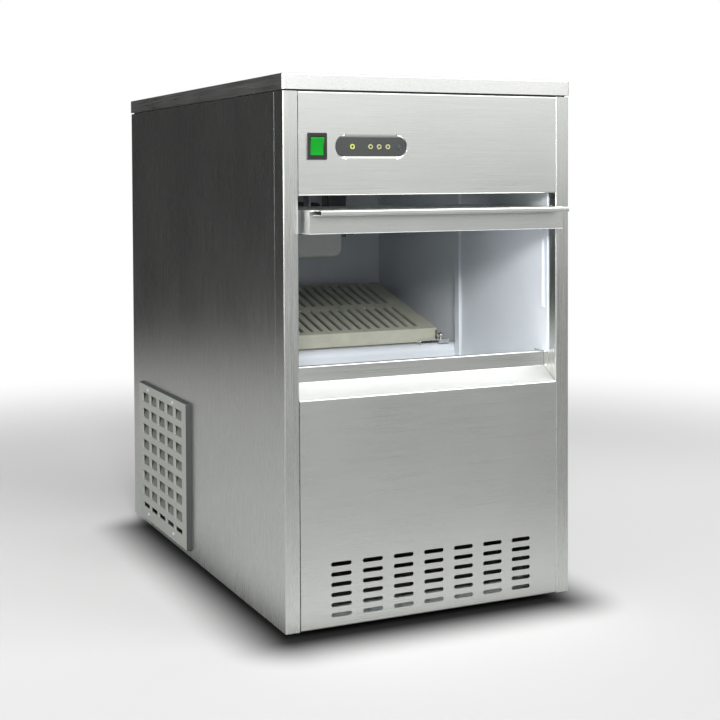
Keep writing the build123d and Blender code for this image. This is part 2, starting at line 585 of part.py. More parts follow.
def insulation():
    out = LINER_HALF + LINER_T
    z_bin = BIN_FLOOR - LINER_T
    z_sump = SUMP_FLOOR - LINER_T
    front = POST_SIDE + 2 * SHEET + 0.5
    back = CHAMBER_BACK + LINER_T
    foam = block(-INNER, INNER, front, back + FOAM_BACK, z_bin - FOAM_UNDER, FOAM_TOP)
    foam += block(-FRONT_HALF + 2, FRONT_HALF - 2, FLANGE, front + 0.1, z_bin - FOAM_UNDER, SLOPE_FOOT_Z - 4)
    foam -= block(-INNER - 1, INNER + 1, SUMP_Y + 2, DEPTH, 0, z_sump - FOAM_UNDER)
    foam -= run_x(offset(cavity_section(), amount=LINER_T, kind=Kind.INTERSECTION), -out, out)
    foam -= block(-out, out, 0, BIN_FRONT, SLOPE_FOOT_Z - 4, HEIGHT)
    foam -= rod_z(0, z_bin + 1, DRAIN_X, bin_drain_y(), BIN_DRAIN_R + 0.3)
    for x, z, r in wall_pipes():
        foam -= rod_y(back - 1, back + FOAM_BACK + 1, x, z, r + 0.3)
    slab = block(-out, out, BOX_DEPTH, back, LINER_TOP + LINER_T, FOAM_TOP)
    return foam + slab


def liner_lid():
    out = LINER_HALF + LINER_T
    y0, y1 = BOX_DEPTH, CHAMBER_BACK + LINER_T
    lid = block(-out, out, y0, y1, LINER_TOP, LINER_TOP + LINER_T)
    inner = LINER_HALF - GUIDE_T - 0.3
    return lid + block(-inner, inner, y0, y0 + LINER_T, BOX_Z, LINER_TOP + 0.1)


def guide_panel():
    # the right-hand panel with its grooves for the door pins
    y0, z1 = POST_RETURN + 0.2, LINER_TOP
    low = BIN_FLOOR + LINER_R + 4
    shape = outline((BIN_FRONT + 0.2, low), (GUIDE_BACK_Y, low), (GUIDE_BACK_Y, z1), (y0, z1),
                    (y0, SILL_Z + 0.3), (BIN_FRONT + 0.2, SILL_Z + 0.3))
    panel = run_x(shape, GUIDE_X, LINER_HALF)
    g, end = GROOVE_HALF, GUIDE_X + GUIDE_GROOVE
    panel -= block(GUIDE_X - 1, end, GUIDE_Y - g, GUIDE_Y + g, GUIDE_Z - PIN_SPACING, GUIDE_Z)
    panel -= block(GUIDE_X - 1, end, GUIDE_Y, GUIDE_Y + PIN_SPACING, GUIDE_Z - g, GUIDE_Z + g)
    for y, z in ((GUIDE_Y, GUIDE_Z), (GUIDE_Y, GUIDE_Z - PIN_SPACING), (GUIDE_Y + PIN_SPACING, GUIDE_Z)):
        panel -= rod_x(GUIDE_X - 1, end, y, z, g)
    return panel - rod_x(GUIDE_X, LINER_HALF + 1, GUIDE_Y, GUIDE_Z, BUTTON_PLUG_R + RUNNING)


def corner_buttons():
    # one wear button a side, on the corner where the two grooves meet
    x0 = GUIDE_X + GUIDE_GROOVE + 0.05
    plug = rod_x(x0, LINER_HALF + LINER_T - 0.2, GUIDE_Y, GUIDE_Z, BUTTON_PLUG_R)
    return Compound(children=[plug, mirrored(plug)])


def chamber_frame():
    low = BIN_FLOOR + LINER_R + 4
    x0, x1 = LINER_HALF - RIB_PROUD, LINER_HALF
    frame = block(-x1, x1, RIB_Y0, RIB_Y1, LINER_TOP - RIB_BEAM, LINER_TOP)
    post = block(x0, x1, RIB_Y0, RIB_Y1, low, LINER_TOP)
    return frame + post + mirrored(post)


def door_box(inset, z0, z1):
    half = DOOR_HALF - inset
    return block(-half, half, DOOR_FRONT_Y + inset, DOOR_BACK_Y - inset, z0, z1)


def pin_places():
    return [(GUIDE_Y, GUIDE_Z), (GUIDE_Y + PIN_SPACING, GUIDE_Z)]


def door_skin():
    t = DOOR_SKIN
    skin = door_box(0, DOOR_INNER_Z + t, DOOR_TOP_OPEN)
    skin = fillet(skin.edges().filter_by(Axis.X).sort_by(Axis.Z)[-2:], 1.2)
    skin -= door_box(t, DOOR_INNER_Z - 1, DOOR_TOP_OPEN - t)
    y0, y1 = DOOR_FRONT_Y - HANDLE_REACH, DOOR_FRONT_Y + 0.1
    z0, z1 = DOOR_TOP_OPEN - HANDLE_T, DOOR_TOP_OPEN
    loop = block(-HANDLE_HALF, HANDLE_HALF, y0, y1, z0, z1)
    loop = fillet(loop.edges().filter_by(Axis.X).sort_by(Axis.Y)[:2], 1.6)
    hollow = block(-HALF, HALF, y0 + t, y1 + 1, z0 + t, z1 - t)
    hollow = fillet(hollow.edges().filter_by(Axis.X).sort_by(Axis.Y)[:2], 0.8)
    skin += loop - (hollow & block(-HALF, HALF, y0, DOOR_FRONT_Y, z0, z1))
    for y, z in pin_places():
        skin -= rod_x(-HALF, HALF, y, z, PIN_SPIGOT_R)
    return skin


def door_liner():
    # the moulded inner face: a shallow pan whose rim closes the skin
    pan = door_box(0, DOOR_INNER_Z, DOOR_INNER_Z + DOOR_SKIN)
    pan += door_box(DOOR_SKIN, DOOR_INNER_Z, DOOR_INNER_Z + DOOR_PAN)
    x, m = DOOR_HALF - DOOR_MARGIN, DOOR_MARGIN
    field = block(-x, x, DOOR_FRONT_Y + m, DOOR_BACK_Y - m, DOOR_INNER_Z - 1, DOOR_INNER_Z + DOOR_FIELD)
    field = fillet(field.edges().filter_by(Axis.Z), 10)
    return pan - field


def door_foam():
    foam = door_box(DOOR_SKIN, DOOR_INNER_Z + DOOR_PAN, DOOR_TOP_OPEN - DOOR_SKIN)
    for y, z in pin_places():
        hole = rod_x(DOOR_HALF - PIN_SPIGOT_L, HALF, y, z, PIN_SPIGOT_R)
        foam -= [hole, mirrored(hole)]
    return foam


def door_pins():
    pins = []
    for y, z in pin_places():
        head = rod_x(DOOR_HALF, GUIDE_X + PIN_TIP, y, z, PIN_R)
        head = chamfer(head.edges().sort_by(Axis.X)[-1], 0.5)
        pin = head + rod_x(DOOR_HALF - PIN_SPIGOT_L, DOOR_HALF, y, z, PIN_SPIGOT_R)
        pins += [pin, mirrored(pin)]
    return Compound(children=pins)


def drain_grid():
    lower = GRID_T
    lip = GRID_Z0 - GRID_LIP
    side = outline((GRID_Y0, GRID_Z0), (GRID_Y1, GRID_Z1), (GRID_Y1, GRID_Z1 - lower),
                   (GRID_Y0 + 3, grid_top(GRID_Y0 + 3) - lower), (GRID_Y0 + 3, lip), (GRID_Y0, lip))
    grid = run_x(side, -GRID_HALF, GRID_HALF)
    skirt = outline((GRID_Y0, GRID_Z0), (GRID_Y1, GRID_Z1), (GRID_Y1, GRID_Z1 - GRID_SKIRT), (GRID_Y0, lip))
    grid += run_x(skirt, -GRID_HALF, -GRID_HALF + 3) + run_x(skirt, GRID_HALF - 3, GRID_HALF)
    tip = grid.edges().filter_by(Axis.X).sort_by(Axis.Y)[:4].sort_by(Axis.Z)[-1]
    grid = fillet(tip, 2.5)
    span = (GRID_Y1 - GRID_Y0 - 2 * GRID_MARGIN - GRID_BAR) / 2
    cutters = []
    for i in range(GRID_SLOTS):
        x = (i - (GRID_SLOTS - 1) / 2) * GRID_PITCH
        for k in range(2):
            y = GRID_Y0 + GRID_MARGIN + k * (span + GRID_BAR)
            cutters.append(block(x - GRID_SLOT_W / 2, x + GRID_SLOT_W / 2, y, y + span,
                                 grid_top(y) - 8, grid_top(y + span) + 4))
    return grid - cutters


def reservoir():
    under = GRID_T + GRID_SEAT
    outer = outline((TANK_Y0, SUMP_FLOOR), (TANK_Y1, SUMP_FLOOR), (TANK_Y1, TANK_STEP_Z),
                    (GRID_Y1 + 3, TANK_STEP_Z), (GRID_Y1 + 3, grid_top(GRID_Y1) - under - 8),
                    (GRID_Y1 - 2, grid_top(GRID_Y1 - 2) - under), (TANK_Y0, grid_top(TANK_Y0) - under))
    tank = run_x(outer, -TANK_HALF, TANK_HALF)
    w = TANK_WALL
    tank -= block(-TANK_HALF + w, TANK_HALF - w, TANK_Y0 + w, TANK_Y1 - w, SUMP_FLOOR + w, HEIGHT)
    return tank - rod_y(TANK_Y1 - w - 1, TANK_Y1 + 1, INLET_X, FILL_Z, PIPE_R + PLAY)


def circulation_pump():
    z0 = SUMP_FLOOR + TANK_WALL
    neck = z0 + PUMP_H
    outlet = neck + PUMP_NECK_H
    pump = rod_z(z0, neck, PUMP_X, PUMP_Y, PUMP_R) + rod_z(neck, outlet, PUMP_X, PUMP_Y, PUMP_NECK_R)
    return pump + rod_z(outlet, outlet + PUMP_OUTLET_H, PUMP_X, PUMP_Y, HOSE_R)


def pump_hose():
    z = SUMP_FLOOR + TANK_WALL + PUMP_H + PUMP_NECK_H + PUMP_OUTLET_H
    return pipe(HOSE_R, BEND_R, (PUMP_X, PUMP_Y, z), (PUMP_X, PUMP_Y, z + 45), (HOSE_X, PUMP_Y, z + 65),
                (HOSE_X, PUMP_Y, HOSE_Z), (HOSE_X, NOZZLE_Y, HOSE_Z), (NOZZLE_X, NOZZLE_Y, HOSE_Z),
                (NOZZLE_X, NOZZLE_Y, NOZZLE_Z - 4))


def sensor_bracket():
    y0, y1 = RISER_Y + 1, SUMP_Y - 2
    x0 = SENSOR_X1 - SENSOR_L
    h = SENSOR_T / 2
    strap = folded((SENSOR_X1, LEDGE_Z + h + 5), (x0 + h, LEDGE_Z + h + 5), (x0 + h, LEDGE_Z), thick=SENSOR_T,
                   radius=3)
    plate = run_y(strap, y0, y1)
    plate += block(SENSOR_SCREW_X - 6, SENSOR_X1, y0, y1, LEDGE_Z, LEDGE_Z + 5 + h)
    return plate - rod_z(LEDGE_Z - 1, LEDGE_Z + 8, SENSOR_SCREW_X, (y0 + y1) / 2, SENSOR_SCREW_R)


def thumb_screw():
    y = (RISER_Y + SUMP_Y - 1) / 2
    z = LEDGE_Z + 5 + SENSOR_T
    head = rod_z(z + 1.5, z + 9, SENSOR_SCREW_X, y, 5.0)
    head = chamfer(head.edges().group_by(Axis.Z)[-1], 2.5)
    head = chamfer(head.edges().group_by(Axis.Z)[0], 1.0)
    return head + rod_z(z, z + 1.5, SENSOR_SCREW_X, y, 3.2)


def evaporator():
    x_end = FINGER_END_X
    x_bend = FINGER_X0 - 2
    coil = Part()
    for y in HEADER_Y:
        coil += rod_x(x_bend, x_end, y, HEADER_Z, HEADER_R)
        for i in range(FINGERS):
            x = FINGER_X0 + i * FINGER_PITCH
            coil += rod_z(FINGER_TIP_Z + 2.5, HEADER_Z, x, y, FINGER_R)
            coil += Pos(x, y, FINGER_TIP_Z + 1.25) * Rot(180, 0, 0) * Cone(FINGER_R, 2.8, 2.5)
    bend = (HEADER_Y[1] - HEADER_Y[0]) / 2
    turn = [(x_bend, y, HEADER_Z) for y in HEADER_Y]
    far = [(x_bend - bend, y, HEADER_Z) for y in HEADER_Y]
    return coil + pipe(HEADER_R, bend - 0.5, turn[0], far[0], far[1], turn[1])


def evaporator_frame():
    # a bent strap: two end plates under a bridge, hung from the chamber's lid
    t = FRAME_T
    x0, x1 = TRAY_X0 - FRAME_GAP, TRAY_X1 + FRAME_GAP
    y0, y1 = TRAY_Y - 72, TRAY_Y + 14
    low = TRAY_Z - FRAME_DROP
    strap = run_y(folded((x0, low), (x0, LINER_TOP - t / 2), (x1, LINER_TOP - t / 2), (x1, low),
                         thick=t, radius=3), y0, y1)
    strap += rod_x(x0 - 3, TRAY_X0 + TRAY_LUG_T + 1, TRAY_Y, TRAY_Z, SHAFT_R)
    strap -= rod_x(x1 - 5, x1 + 5, TRAY_Y, TRAY_Z, SHAFT_R + 1)
    strap -= rod_x(x0 - 5, x0 + 5, NOZZLE_Y, HOSE_Z, HOSE_R + PLAY)
    bar_z = HEADER_Z + HEADER_R
    for x in (FINGER_X0 + FINGER_PITCH / 2, FINGER_X0 + (FINGERS - 1.5) * FINGER_PITCH):
        strap += block(x - 5, x + 5, HEADER_Y[0] - 4, HEADER_Y[1] + 4, bar_z, bar_z + 3)
        strap += block(x - 1.5, x + 1.5, HEADER_Y[0] + 4, HEADER_Y[1] - 4, bar_z, LINER_TOP - t)
    return strap


def tray_section(inset):
    # the tray's section across, drawn as (y, z) points, with rounded lower edges
    y0, y1 = TRAY_Y - TRAY_DEPTH + inset, TRAY_Y - inset
    z0 = TRAY_Z - TRAY_HEIGHT + inset
    z1 = TRAY_Z - 2 if inset == 0 else TRAY_Z + 20
    section = outline((y0, z0), (y1, z0), (y1, z1), (y0, z1))
    return fillet([v for v in section.vertices() if v.Y < z0 + 1], TRAY_EDGE_R - inset)


def tray_front(inset):
    x0, x1 = TRAY_X0 + inset, TRAY_X1 - inset
    z0 = TRAY_Z - TRAY_HEIGHT + inset
    section = outline((x0, z0), (x1, z0), (x1, TRAY_Z + 20), (x0, TRAY_Z + 20))
    return fillet([v for v in section.vertices() if v.Y < z0 + 1], TRAY_END_R - inset)


def water_tray():
    w = TRAY_WALL
    y0, y1 = TRAY_Y - TRAY_DEPTH - 5, TRAY_Y + 5
    outer = run_x(tray_section(0), TRAY_X0, TRAY_X1) & run_y(tray_front(0), y0, y1)
    inner = run_x(tray_section(w), TRAY_X0, TRAY_X1) & run_y(tray_front(w), y0, y1)
    tray = outer - inner
    for x in (TRAY_X0, TRAY_X1 - TRAY_LUG_T):
        lug = rod_x(x, x + TRAY_LUG_T, TRAY_Y, TRAY_Z, TRAY_LUG_R)
        lug += block(x, x + TRAY_LUG_T, TRAY_Y - 16, TRAY_Y - 1, TRAY_Z - 16, TRAY_Z - 1)
        tray += lug
    tray -= rod_x(TRAY_X0 - 1, TRAY_X0 + 10, TRAY_Y, TRAY_Z, SHAFT_R + RUNNING)
    return tray - rod_x(TRAY_X1 - 10, TRAY_X1 + 1, TRAY_Y, TRAY_Z, SHAFT_R)


def tray_shaft():
    return rod_x(TRAY_X1 - TRAY_LUG_T, TRAY_X1 + FRAME_GAP + 10, TRAY_Y, TRAY_Z, SHAFT_R)


def tray_motor():
    x0 = TRAY_X1 + FRAME_GAP + FRAME_T / 2
    z = TRAY_Z + MOTOR_RISE
    drum = rod_x(x0, x0 + MOTOR_L, TRAY_Y, z, MOTOR_R)
    drum += block(x0, x0 + 3, TRAY_Y - MOTOR_R - 9, TRAY_Y + MOTOR_R + 9, z - 6, z + 6)
    return drum - rod_x(x0 - 1, x0 + 14, TRAY_Y, TRAY_Z, SHAFT_R + RUNNING)


def comp_foot_places():
    return [(COMP_X + sx * COMP_FEET, COMP_Y + sy * COMP_FEET) for sx in (-1, 1) for sy in (-1, 1)]


def compressor():
    z0, z1, r = COMP_Z0, COMP_Z1, COMP_R
    shell = outline((0, z0), (r * 0.72, z0), (r * 0.94, z0 + 12), (r - 3, z0 + 24), (r - 3, z0 + 86),
                    (r, z0 + 88), (r, z0 + 94), (r - 3, z0 + 96), (r - 5, z1 - 28), (r * 0.82, z1 - 10),
                    (r * 0.5, z1 - 2), (0, z1))
    body = Pos(COMP_X, COMP_Y, 0) * revolve(Plane.XZ * shell, axis=Axis.Z)
    for sy in (-1, 1):
        y = COMP_Y + sy * COMP_FEET
        foot_bar = block(COMP_X - COMP_FEET - 12, COMP_X + COMP_FEET + 12, y - 14, y + 14, z0 - 1, z0 + 3)
        if sy > 0:
            foot_bar += block(COMP_X - 30, COMP_X + 30, COMP_Y + 30, y, z0 - 1, z0 + 3)
        else:
            foot_bar += block(COMP_X - 30, COMP_X + 30, y, COMP_Y - 30, z0 - 1, z0 + 3)
        body += foot_bar
    for x, y in comp_foot_places():
        body -= rod_z(0, z0 + 5, x, y, 5)
    body += rod_x(COMP_X - r - 8, COMP_X - r + 8, COMP_Y, COMP_STUB_Z, PIPE_R)
    return body + rod_y(COMP_Y + r - 8, COMP_Y + r + 8, COMP_X, COMP_STUB_Z, PIPE_R)


def compressor_grommets():
    rubbers = []
    z0 = SHEET + PAN_T
    top = COMP_Z0 - 1
    for x, y in comp_foot_places():
        rubber = rod_z(z0, top, x, y, GROMMET_R) + rod_z(top, COMP_Z0 + 3, x, y, 5)
        rubbers.append(rubber + rod_z(COMP_Z0 + 3, COMP_Z0 + 6, x, y, 7))
    return Compound(children=rubbers)


def terminal_cover():
    y = COMP_Y - COMP_R
    cover = block(COMP_X - 22, COMP_X + 22, y - 14, y + 3, 66, 108)
    cover = fillet(cover.edges().filter_by(Axis.Y), 4)
    return cover - rod_z(0, HEIGHT, COMP_X, COMP_Y, COMP_R + 0.2)


def condenser():
    core = block(COND_X0 + 6, COND_X1 - 4, COND_Y0 + 2, COND_Y1 - 2, COND_Z0 + 2, COND_Z1 - 2)
    pitch = (COND_Y1 - COND_Y0) / COND_FINS
    for i in range(COND_FINS + 1):
        y = COND_Y0 + i * pitch
        t = 0.8
        core += block(COND_X0, COND_X1, y - t, y + t, COND_Z0, COND_Z1)
    x = (COND_X0 + COND_X1) / 2
    for z in (COND_Z0 + COND_TUBE, COND_Z1 - COND_TUBE):
        core += rod_y(COND_Y0 - 12, COND_Y0, x, z, PIPE_R)
    for z in (COND_Z0, COND_Z1 - 1.5):
        core += block(COND_X0, COND_X1, COND_Y0, COND_Y1, z, z + 1.5)
    for y in (COND_Y0 + 20, COND_Y1 - 20):
        core += block(x - 8, x + 8, y - 8, y + 8, SHEET + PAN_T, COND_Z0 + 1)
    return core


def fan_shroud():
    x0, x1 = SHROUD_X, SHROUD_X + SHROUD_T
    plate = block(x0, x1, COND_Y0, COND_Y1, COND_Z0, COND_Z1)
    hole_r, ring_x = FAN_R + FAN_GAP, x0 + SHROUD_RING
    plate -= rod_x(x0 - 1, x1 + 1, FAN_Y, FAN_Z, hole_r)
    ring = rod_x(x0, ring_x, FAN_Y, FAN_Z, hole_r + SHROUD_T)
    plate += ring - rod_x(x0 - 1, ring_x + 1, FAN_Y, FAN_Z, hole_r)
    arm_x = FAN_X1 + 4
    for y in (FAN_Y - FAN_R - 8, FAN_Y + FAN_R + 8):
        plate += block(x0, arm_x + 3, y - 5, y + 5, FAN_Z - 5, FAN_Z + 5)
    plate += block(arm_x, arm_x + 3, FAN_Y - FAN_R - 13, FAN_Y + FAN_R + 13, FAN_Z - 5, FAN_Z + 5)
    plate += rod_x(arm_x, arm_x + 3, FAN_Y, FAN_Z, FAN_MOTOR_R)
    return plate - rod_x(arm_x - 1, arm_x + 5, FAN_Y, FAN_Z, FAN_SHAFT_R + 1.5)


def fan_motor():
    x0 = FAN_X1 + 7
    motor = rod_x(x0, x0 + FAN_MOTOR_L, FAN_Y, FAN_Z, FAN_MOTOR_R)
    motor = chamfer(motor.edges().sort_by(Axis.X)[-1], 5)
    return motor + rod_x(FAN_X0 + 4, x0 + 1, FAN_Y, FAN_Z, FAN_SHAFT_R)


def fan_blade():
    hub = rod_x(FAN_X0, FAN_X1, FAN_Y, FAN_Z, FAN_HUB_R)
    hub -= rod_x(FAN_X0 + 3, FAN_X1 + 1, FAN_Y, FAN_Z, FAN_SHAFT_R + RUNNING)
    mid = (FAN_X0 + FAN_X1) / 2
    blade = Rot(0, 0, FAN_PITCH) * Box(1.6, 34, FAN_R - FAN_HUB_R + 4)
    blade = Pos(0, 0, (FAN_HUB_R + FAN_R) / 2 - 2) * blade
    reach = rod_x(FAN_X0 - 20, FAN_X1 + 20, FAN_Y, FAN_Z, FAN_R)
    for i in range(FAN_BLADES):
        one = Pos(mid, FAN_Y, FAN_Z) * Rot(i * 360 / FAN_BLADES, 0, 0) * blade
        hub += one & reach
    return hub


def discharge_pipe():
    x0 = COMP_X - COMP_R - 8
    turn_x = x0 - 22
    cx = (COND_X0 + COND_X1) / 2
    z = COND_Z1 - COND_TUBE
    y = COND_Y0 - 12
    top = DISCHARGE_Z
    return pipe(PIPE_R, BEND_R, (x0, COMP_Y, COMP_STUB_Z),
                (turn_x, COMP_Y, COMP_STUB_Z), (turn_x, COMP_Y, top),
                (turn_x, y - 14, top), (cx, y - 14, top), (cx, y - 14, z), (cx, y, z))


def liquid_pipe():
    cx = (COND_X0 + COND_X1) / 2
    z = COND_Z0 + COND_TUBE
    return pipe(PIPE_R, BEND_R, (cx, COND_Y0 - 12, z), (cx, DRIER_Y, z), (DRIER_X0 - 10, DRIER_Y, DRIER_Z))


def filter_drier():
    x0, x1 = DRIER_X0, DRIER_X0 + DRIER_L
    body = rod_x(x0, x1, DRIER_Y, DRIER_Z, DRIER_R)
    body = chamfer(body.edges(), 4)
    body += rod_x(x0 - 10, x0 + 1, DRIER_Y, DRIER_Z, PIPE_R)
    body += rod_x(x1 - 1, x1 + 10, DRIER_Y, DRIER_Z, THIN_PIPE_R)
    cx = (x0 + x1) / 2
    return body + block(cx - 6, cx + 6, DRIER_Y - 9, DRIER_Y + 9, SHEET + PAN_T, DRIER_Z - 5)


def feed_pipe():
    side_x = HALF - 18
    return pipe(THIN_PIPE_R, BEND_R, (DRIER_X0 + DRIER_L + 10, DRIER_Y, DRIER_Z), (side_x, DRIER_Y, DRIER_Z),
                (side_x, PIPE_DUCT_Y, DRIER_Z), (side_x, PIPE_DUCT_Y, FEED_Z), (FEED_X, PIPE_DUCT_Y, FEED_Z),
                (FEED_X, HEADER_Y[0], FEED_Z), (FEED_X, HEADER_Y[0], HEADER_Z + HEADER_R + 0.2))


def suction_pipe():
    low = COMP_STUB_Z + 40
    return pipe(PIPE_R, BEND_R, (FINGER_END_X, HEADER_Y[1], HEADER_Z), (SUCTION_X, HEADER_Y[1], HEADER_Z),
                (SUCTION_X, HEADER_Y[1], SUCTION_Z), (SUCTION_X, PIPE_DUCT_Y, SUCTION_Z),
                (SUCTION_X, PIPE_DUCT_Y, low), (COMP_X, PIPE_DUCT_Y, low), (COMP_X, PIPE_DUCT_Y, COMP_STUB_Z),
                (COMP_X, COMP_Y + COMP_R + 8, COMP_STUB_Z))


def water_inlet_valve():
    y = DEPTH - SHEET
    valve = block(INLET_X - 18, INLET_X + 18, y - 4, y, INLET_Z - 16, INLET_Z + 16)
    valve += rod_y(y - 0.1, DEPTH + NECK, INLET_X, INLET_Z, INLET_R - 1)
    valve += rod_y(DEPTH + NECK, DEPTH + INLET_L, INLET_X, INLET_Z, INLET_R)
    valve += rod_y(y - 22, y - 3, INLET_X, INLET_Z, 11)
    valve += block(INLET_X - 14, INLET_X + 14, y - 22, y - 6, INLET_Z + 8, INLET_Z + 36)
    valve += rod_z(INLET_Z + 35, INLET_Z + 44, INLET_X, y - 14, PIPE_R)
    return valve - rod_y(DEPTH + 2, DEPTH + INLET_L + 1, INLET_X, INLET_Z, 8)


def fill_hose():
    y = DEPTH - SHEET - 14
    return pipe(PIPE_R, BEND_R, (INLET_X, y, INLET_Z + 44), (INLET_X, y, FILL_Z),
                (INLET_X, TANK_Y1 - 10, FILL_Z))


def drain_hose():
    y = bin_drain_y()
    return pipe(BIN_DRAIN_R - 0.1, 2 * BEND_R, (DRAIN_X, y, BIN_FLOOR - LINER_T), (DRAIN_X, y, DRAIN_Z),
                (DRAIN_X, DEPTH - 24, DRAIN_Z))


def drain_spigot():
    spout = rod_y(DEPTH - 24, DEPTH - SHEET, DRAIN_X, DRAIN_Z, DRAIN_R)
    spout += rod_y(DEPTH - SHEET - 0.1, DEPTH + NECK, DRAIN_X, DRAIN_Z, DRAIN_R - 1)
    spout += rod_y(DEPTH + NECK, DEPTH + DRAIN_L, DRAIN_X, DRAIN_Z, DRAIN_R)
    spout += rod_y(DEPTH - SHEET - 3, DEPTH - SHEET, DRAIN_X, DRAIN_Z, DRAIN_R + 6)
    return spout - rod_y(DEPTH - 10, DEPTH + DRAIN_L + 1, DRAIN_X, DRAIN_Z, DRAIN_BORE_R)


def cord_bush():
    bush = rod_y(DEPTH, DEPTH + 4, CORD_X, CORD_Z, CORD_BUSH_R)
    bush = chamfer(bush.edges().sort_by(Axis.Y)[-1], 1.2)
    bush += rod_y(DEPTH - 6, DEPTH, CORD_X, CORD_Z, CORD_BUSH_R - 2)
    return bush - rod_y(DEPTH - 8, DEPTH + 6, CORD_X, CORD_Z, CORD_R)


PIECES = {
    "base_pan": base_pan,
    "left_side_panel": left_side_panel,
    "right_side_panel": right_side_panel,
    "back_panel": back_panel,
    "top_cover": top_cover,
    "cover_seal": cover_seal,
    "front_post_left": front_post,
    "front_post_right": lambda: mirrored(front_post()),
    "lower_front_panel": lower_front_panel,
    "control_panel": control_panel,
    "control_box": control_box,
    "power_board": power_board,
    "display_board": display_board,
    "indicator_window": indicator_window,
    "indicator_lamps": indicator_lamps,
    "select_button": select_button,
    "switch_body": switch_body,
    "switch_rocker": switch_rocker,
    "side_grille": side_grille,
    "grille_screws": grille_screws,
    "bin_liner": liner,
    "liner_lid": liner_lid,
    "insulation_foam": insulation,
    "guide_panel_left": lambda: mirrored(guide_panel()),
    "guide_panel_right": guide_panel,
    "guide_corner_buttons": corner_buttons,
    "chamber_frame": chamber_frame,
    "door_skin": door_skin,
    "door_liner": door_liner,
    "door_foam": door_foam,
    "door_pins": door_pins,
    "drain_grid": drain_grid,
    "water_reservoir": reservoir,
    "circulation_pump": circulation_pump,
    "sensor_bracket": sensor_bracket,
    "thumb_screw": thumb_screw,
    "evaporator": evaporator,
    "evaporator_frame": evaporator_frame,
    "water_tray": water_tray,
    "tray_shaft": tray_shaft,
    "tray_motor": tray_motor,
    "compressor": compressor,
    "compressor_grommets": compressor_grommets,
    "terminal_cover": terminal_cover,
    "condenser": condenser,
    "fan_shroud": fan_shroud,
    "fan_motor": fan_motor,
    "fan_blade": fan_blade,
    "condenser_pipes": lambda: Compound(children=[discharge_pipe(), liquid_pipe()]),
    "filter_drier": filter_drier,
    "evaporator_pipes": lambda: Compound(children=[feed_pipe(), suction_pipe()]),
    "water_inlet_valve": water_inlet_valve,
    "water_hoses": lambda: Compound(children=[pump_hose(), fill_hose()]),
    "drain_hose": drain_hose,
    "drain_spigot": drain_spigot,
    "cord_bush": cord_bush,
}


def main():
    os.makedirs("parts", exist_ok=True)
    place = Pos(0, -MID_Y, FOOT_GAP)
    for name, make in PIECES.items():
        export_step(place * make(), f"parts/{name}.step")
    corners = ["front_left", "front_right", "rear_left", "rear_right"]
    for corner, (x, y) in zip(corners, foot_places()):
        export_step(place * foot(x, y), f"parts/foot_{corner}.step")


main()
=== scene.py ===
# %% [markdown]
# # An under-counter ice cube machine
# The cabinet is folded from stainless sheet, with a lift-up door that stands open over a plastic bin.
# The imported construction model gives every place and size. This script dresses it: sheet edges get a
# small round, gratings are made again with soft openings, and every surface gets a finish built from nodes.

# %% The frame
import json
import math

import bmesh
import bpy
from mathutils import Matrix, Vector


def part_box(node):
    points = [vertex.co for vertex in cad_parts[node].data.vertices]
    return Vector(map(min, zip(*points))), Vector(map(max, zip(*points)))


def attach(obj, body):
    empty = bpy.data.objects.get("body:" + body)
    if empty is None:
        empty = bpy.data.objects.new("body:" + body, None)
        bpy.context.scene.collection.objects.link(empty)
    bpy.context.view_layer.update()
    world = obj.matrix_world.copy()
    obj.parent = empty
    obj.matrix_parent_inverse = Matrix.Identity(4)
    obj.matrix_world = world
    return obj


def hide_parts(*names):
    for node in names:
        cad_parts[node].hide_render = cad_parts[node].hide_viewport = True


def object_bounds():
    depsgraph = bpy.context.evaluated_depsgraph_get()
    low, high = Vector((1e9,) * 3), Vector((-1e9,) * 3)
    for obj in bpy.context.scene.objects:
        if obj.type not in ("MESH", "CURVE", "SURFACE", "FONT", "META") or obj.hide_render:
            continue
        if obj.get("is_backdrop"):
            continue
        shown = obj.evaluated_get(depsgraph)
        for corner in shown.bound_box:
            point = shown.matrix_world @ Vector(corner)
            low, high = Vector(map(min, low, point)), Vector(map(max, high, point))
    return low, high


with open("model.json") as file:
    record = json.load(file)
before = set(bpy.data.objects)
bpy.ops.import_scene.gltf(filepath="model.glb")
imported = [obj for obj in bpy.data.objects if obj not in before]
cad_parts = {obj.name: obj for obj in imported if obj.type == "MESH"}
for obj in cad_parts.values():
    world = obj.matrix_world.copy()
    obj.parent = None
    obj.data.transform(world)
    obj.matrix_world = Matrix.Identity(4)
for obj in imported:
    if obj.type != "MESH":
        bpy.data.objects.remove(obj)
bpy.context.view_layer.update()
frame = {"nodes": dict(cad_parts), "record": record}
NODES = frame["nodes"]
MM = 0.001

# %% [markdown]
# ## Camera
# The photograph was taken from the front left, at about the height of the door, with a level lens whose
# frame is shifted down, so upright edges stay upright. A shift moves other views as well, so a part of it
# is exchanged here for a slight downward tilt, which the eye can't tell from the real thing.

# %% Camera
CAMERA_PLACE = Vector((-0.7566, -1.7282, 0.5342))
CAMERA_HEADING = math.radians(-24.859)
CAMERA_TILT = math.radians(1.696)
CAMERA_ROLL = math.radians(-0.273)
CAMERA_LENS = 68.293
SENSOR = 36.0
SHIFT = -0.2

camera_data = bpy.data.cameras.new("photo_camera")
camera_data.lens = CAMERA_LENS
camera_data.sensor_width = SENSOR
camera_data.shift_y = SHIFT
camera_data.clip_end = 50.0
camera = bpy.data.objects.new("photo_camera", camera_data)
turn = Matrix.Rotation(CAMERA_HEADING, 4, "Z") @ Matrix.Rotation(math.pi / 2 - CAMERA_TILT, 4, "X")
camera.matrix_world = Matrix.Translation(CAMERA_PLACE) @ turn @ Matrix.Rotation(CAMERA_ROLL, 4, "Z")
bpy.context.scene.collection.objects.link(camera)
bpy.context.scene.camera = camera
bpy.context.scene.view_settings.view_transform = "Standard"

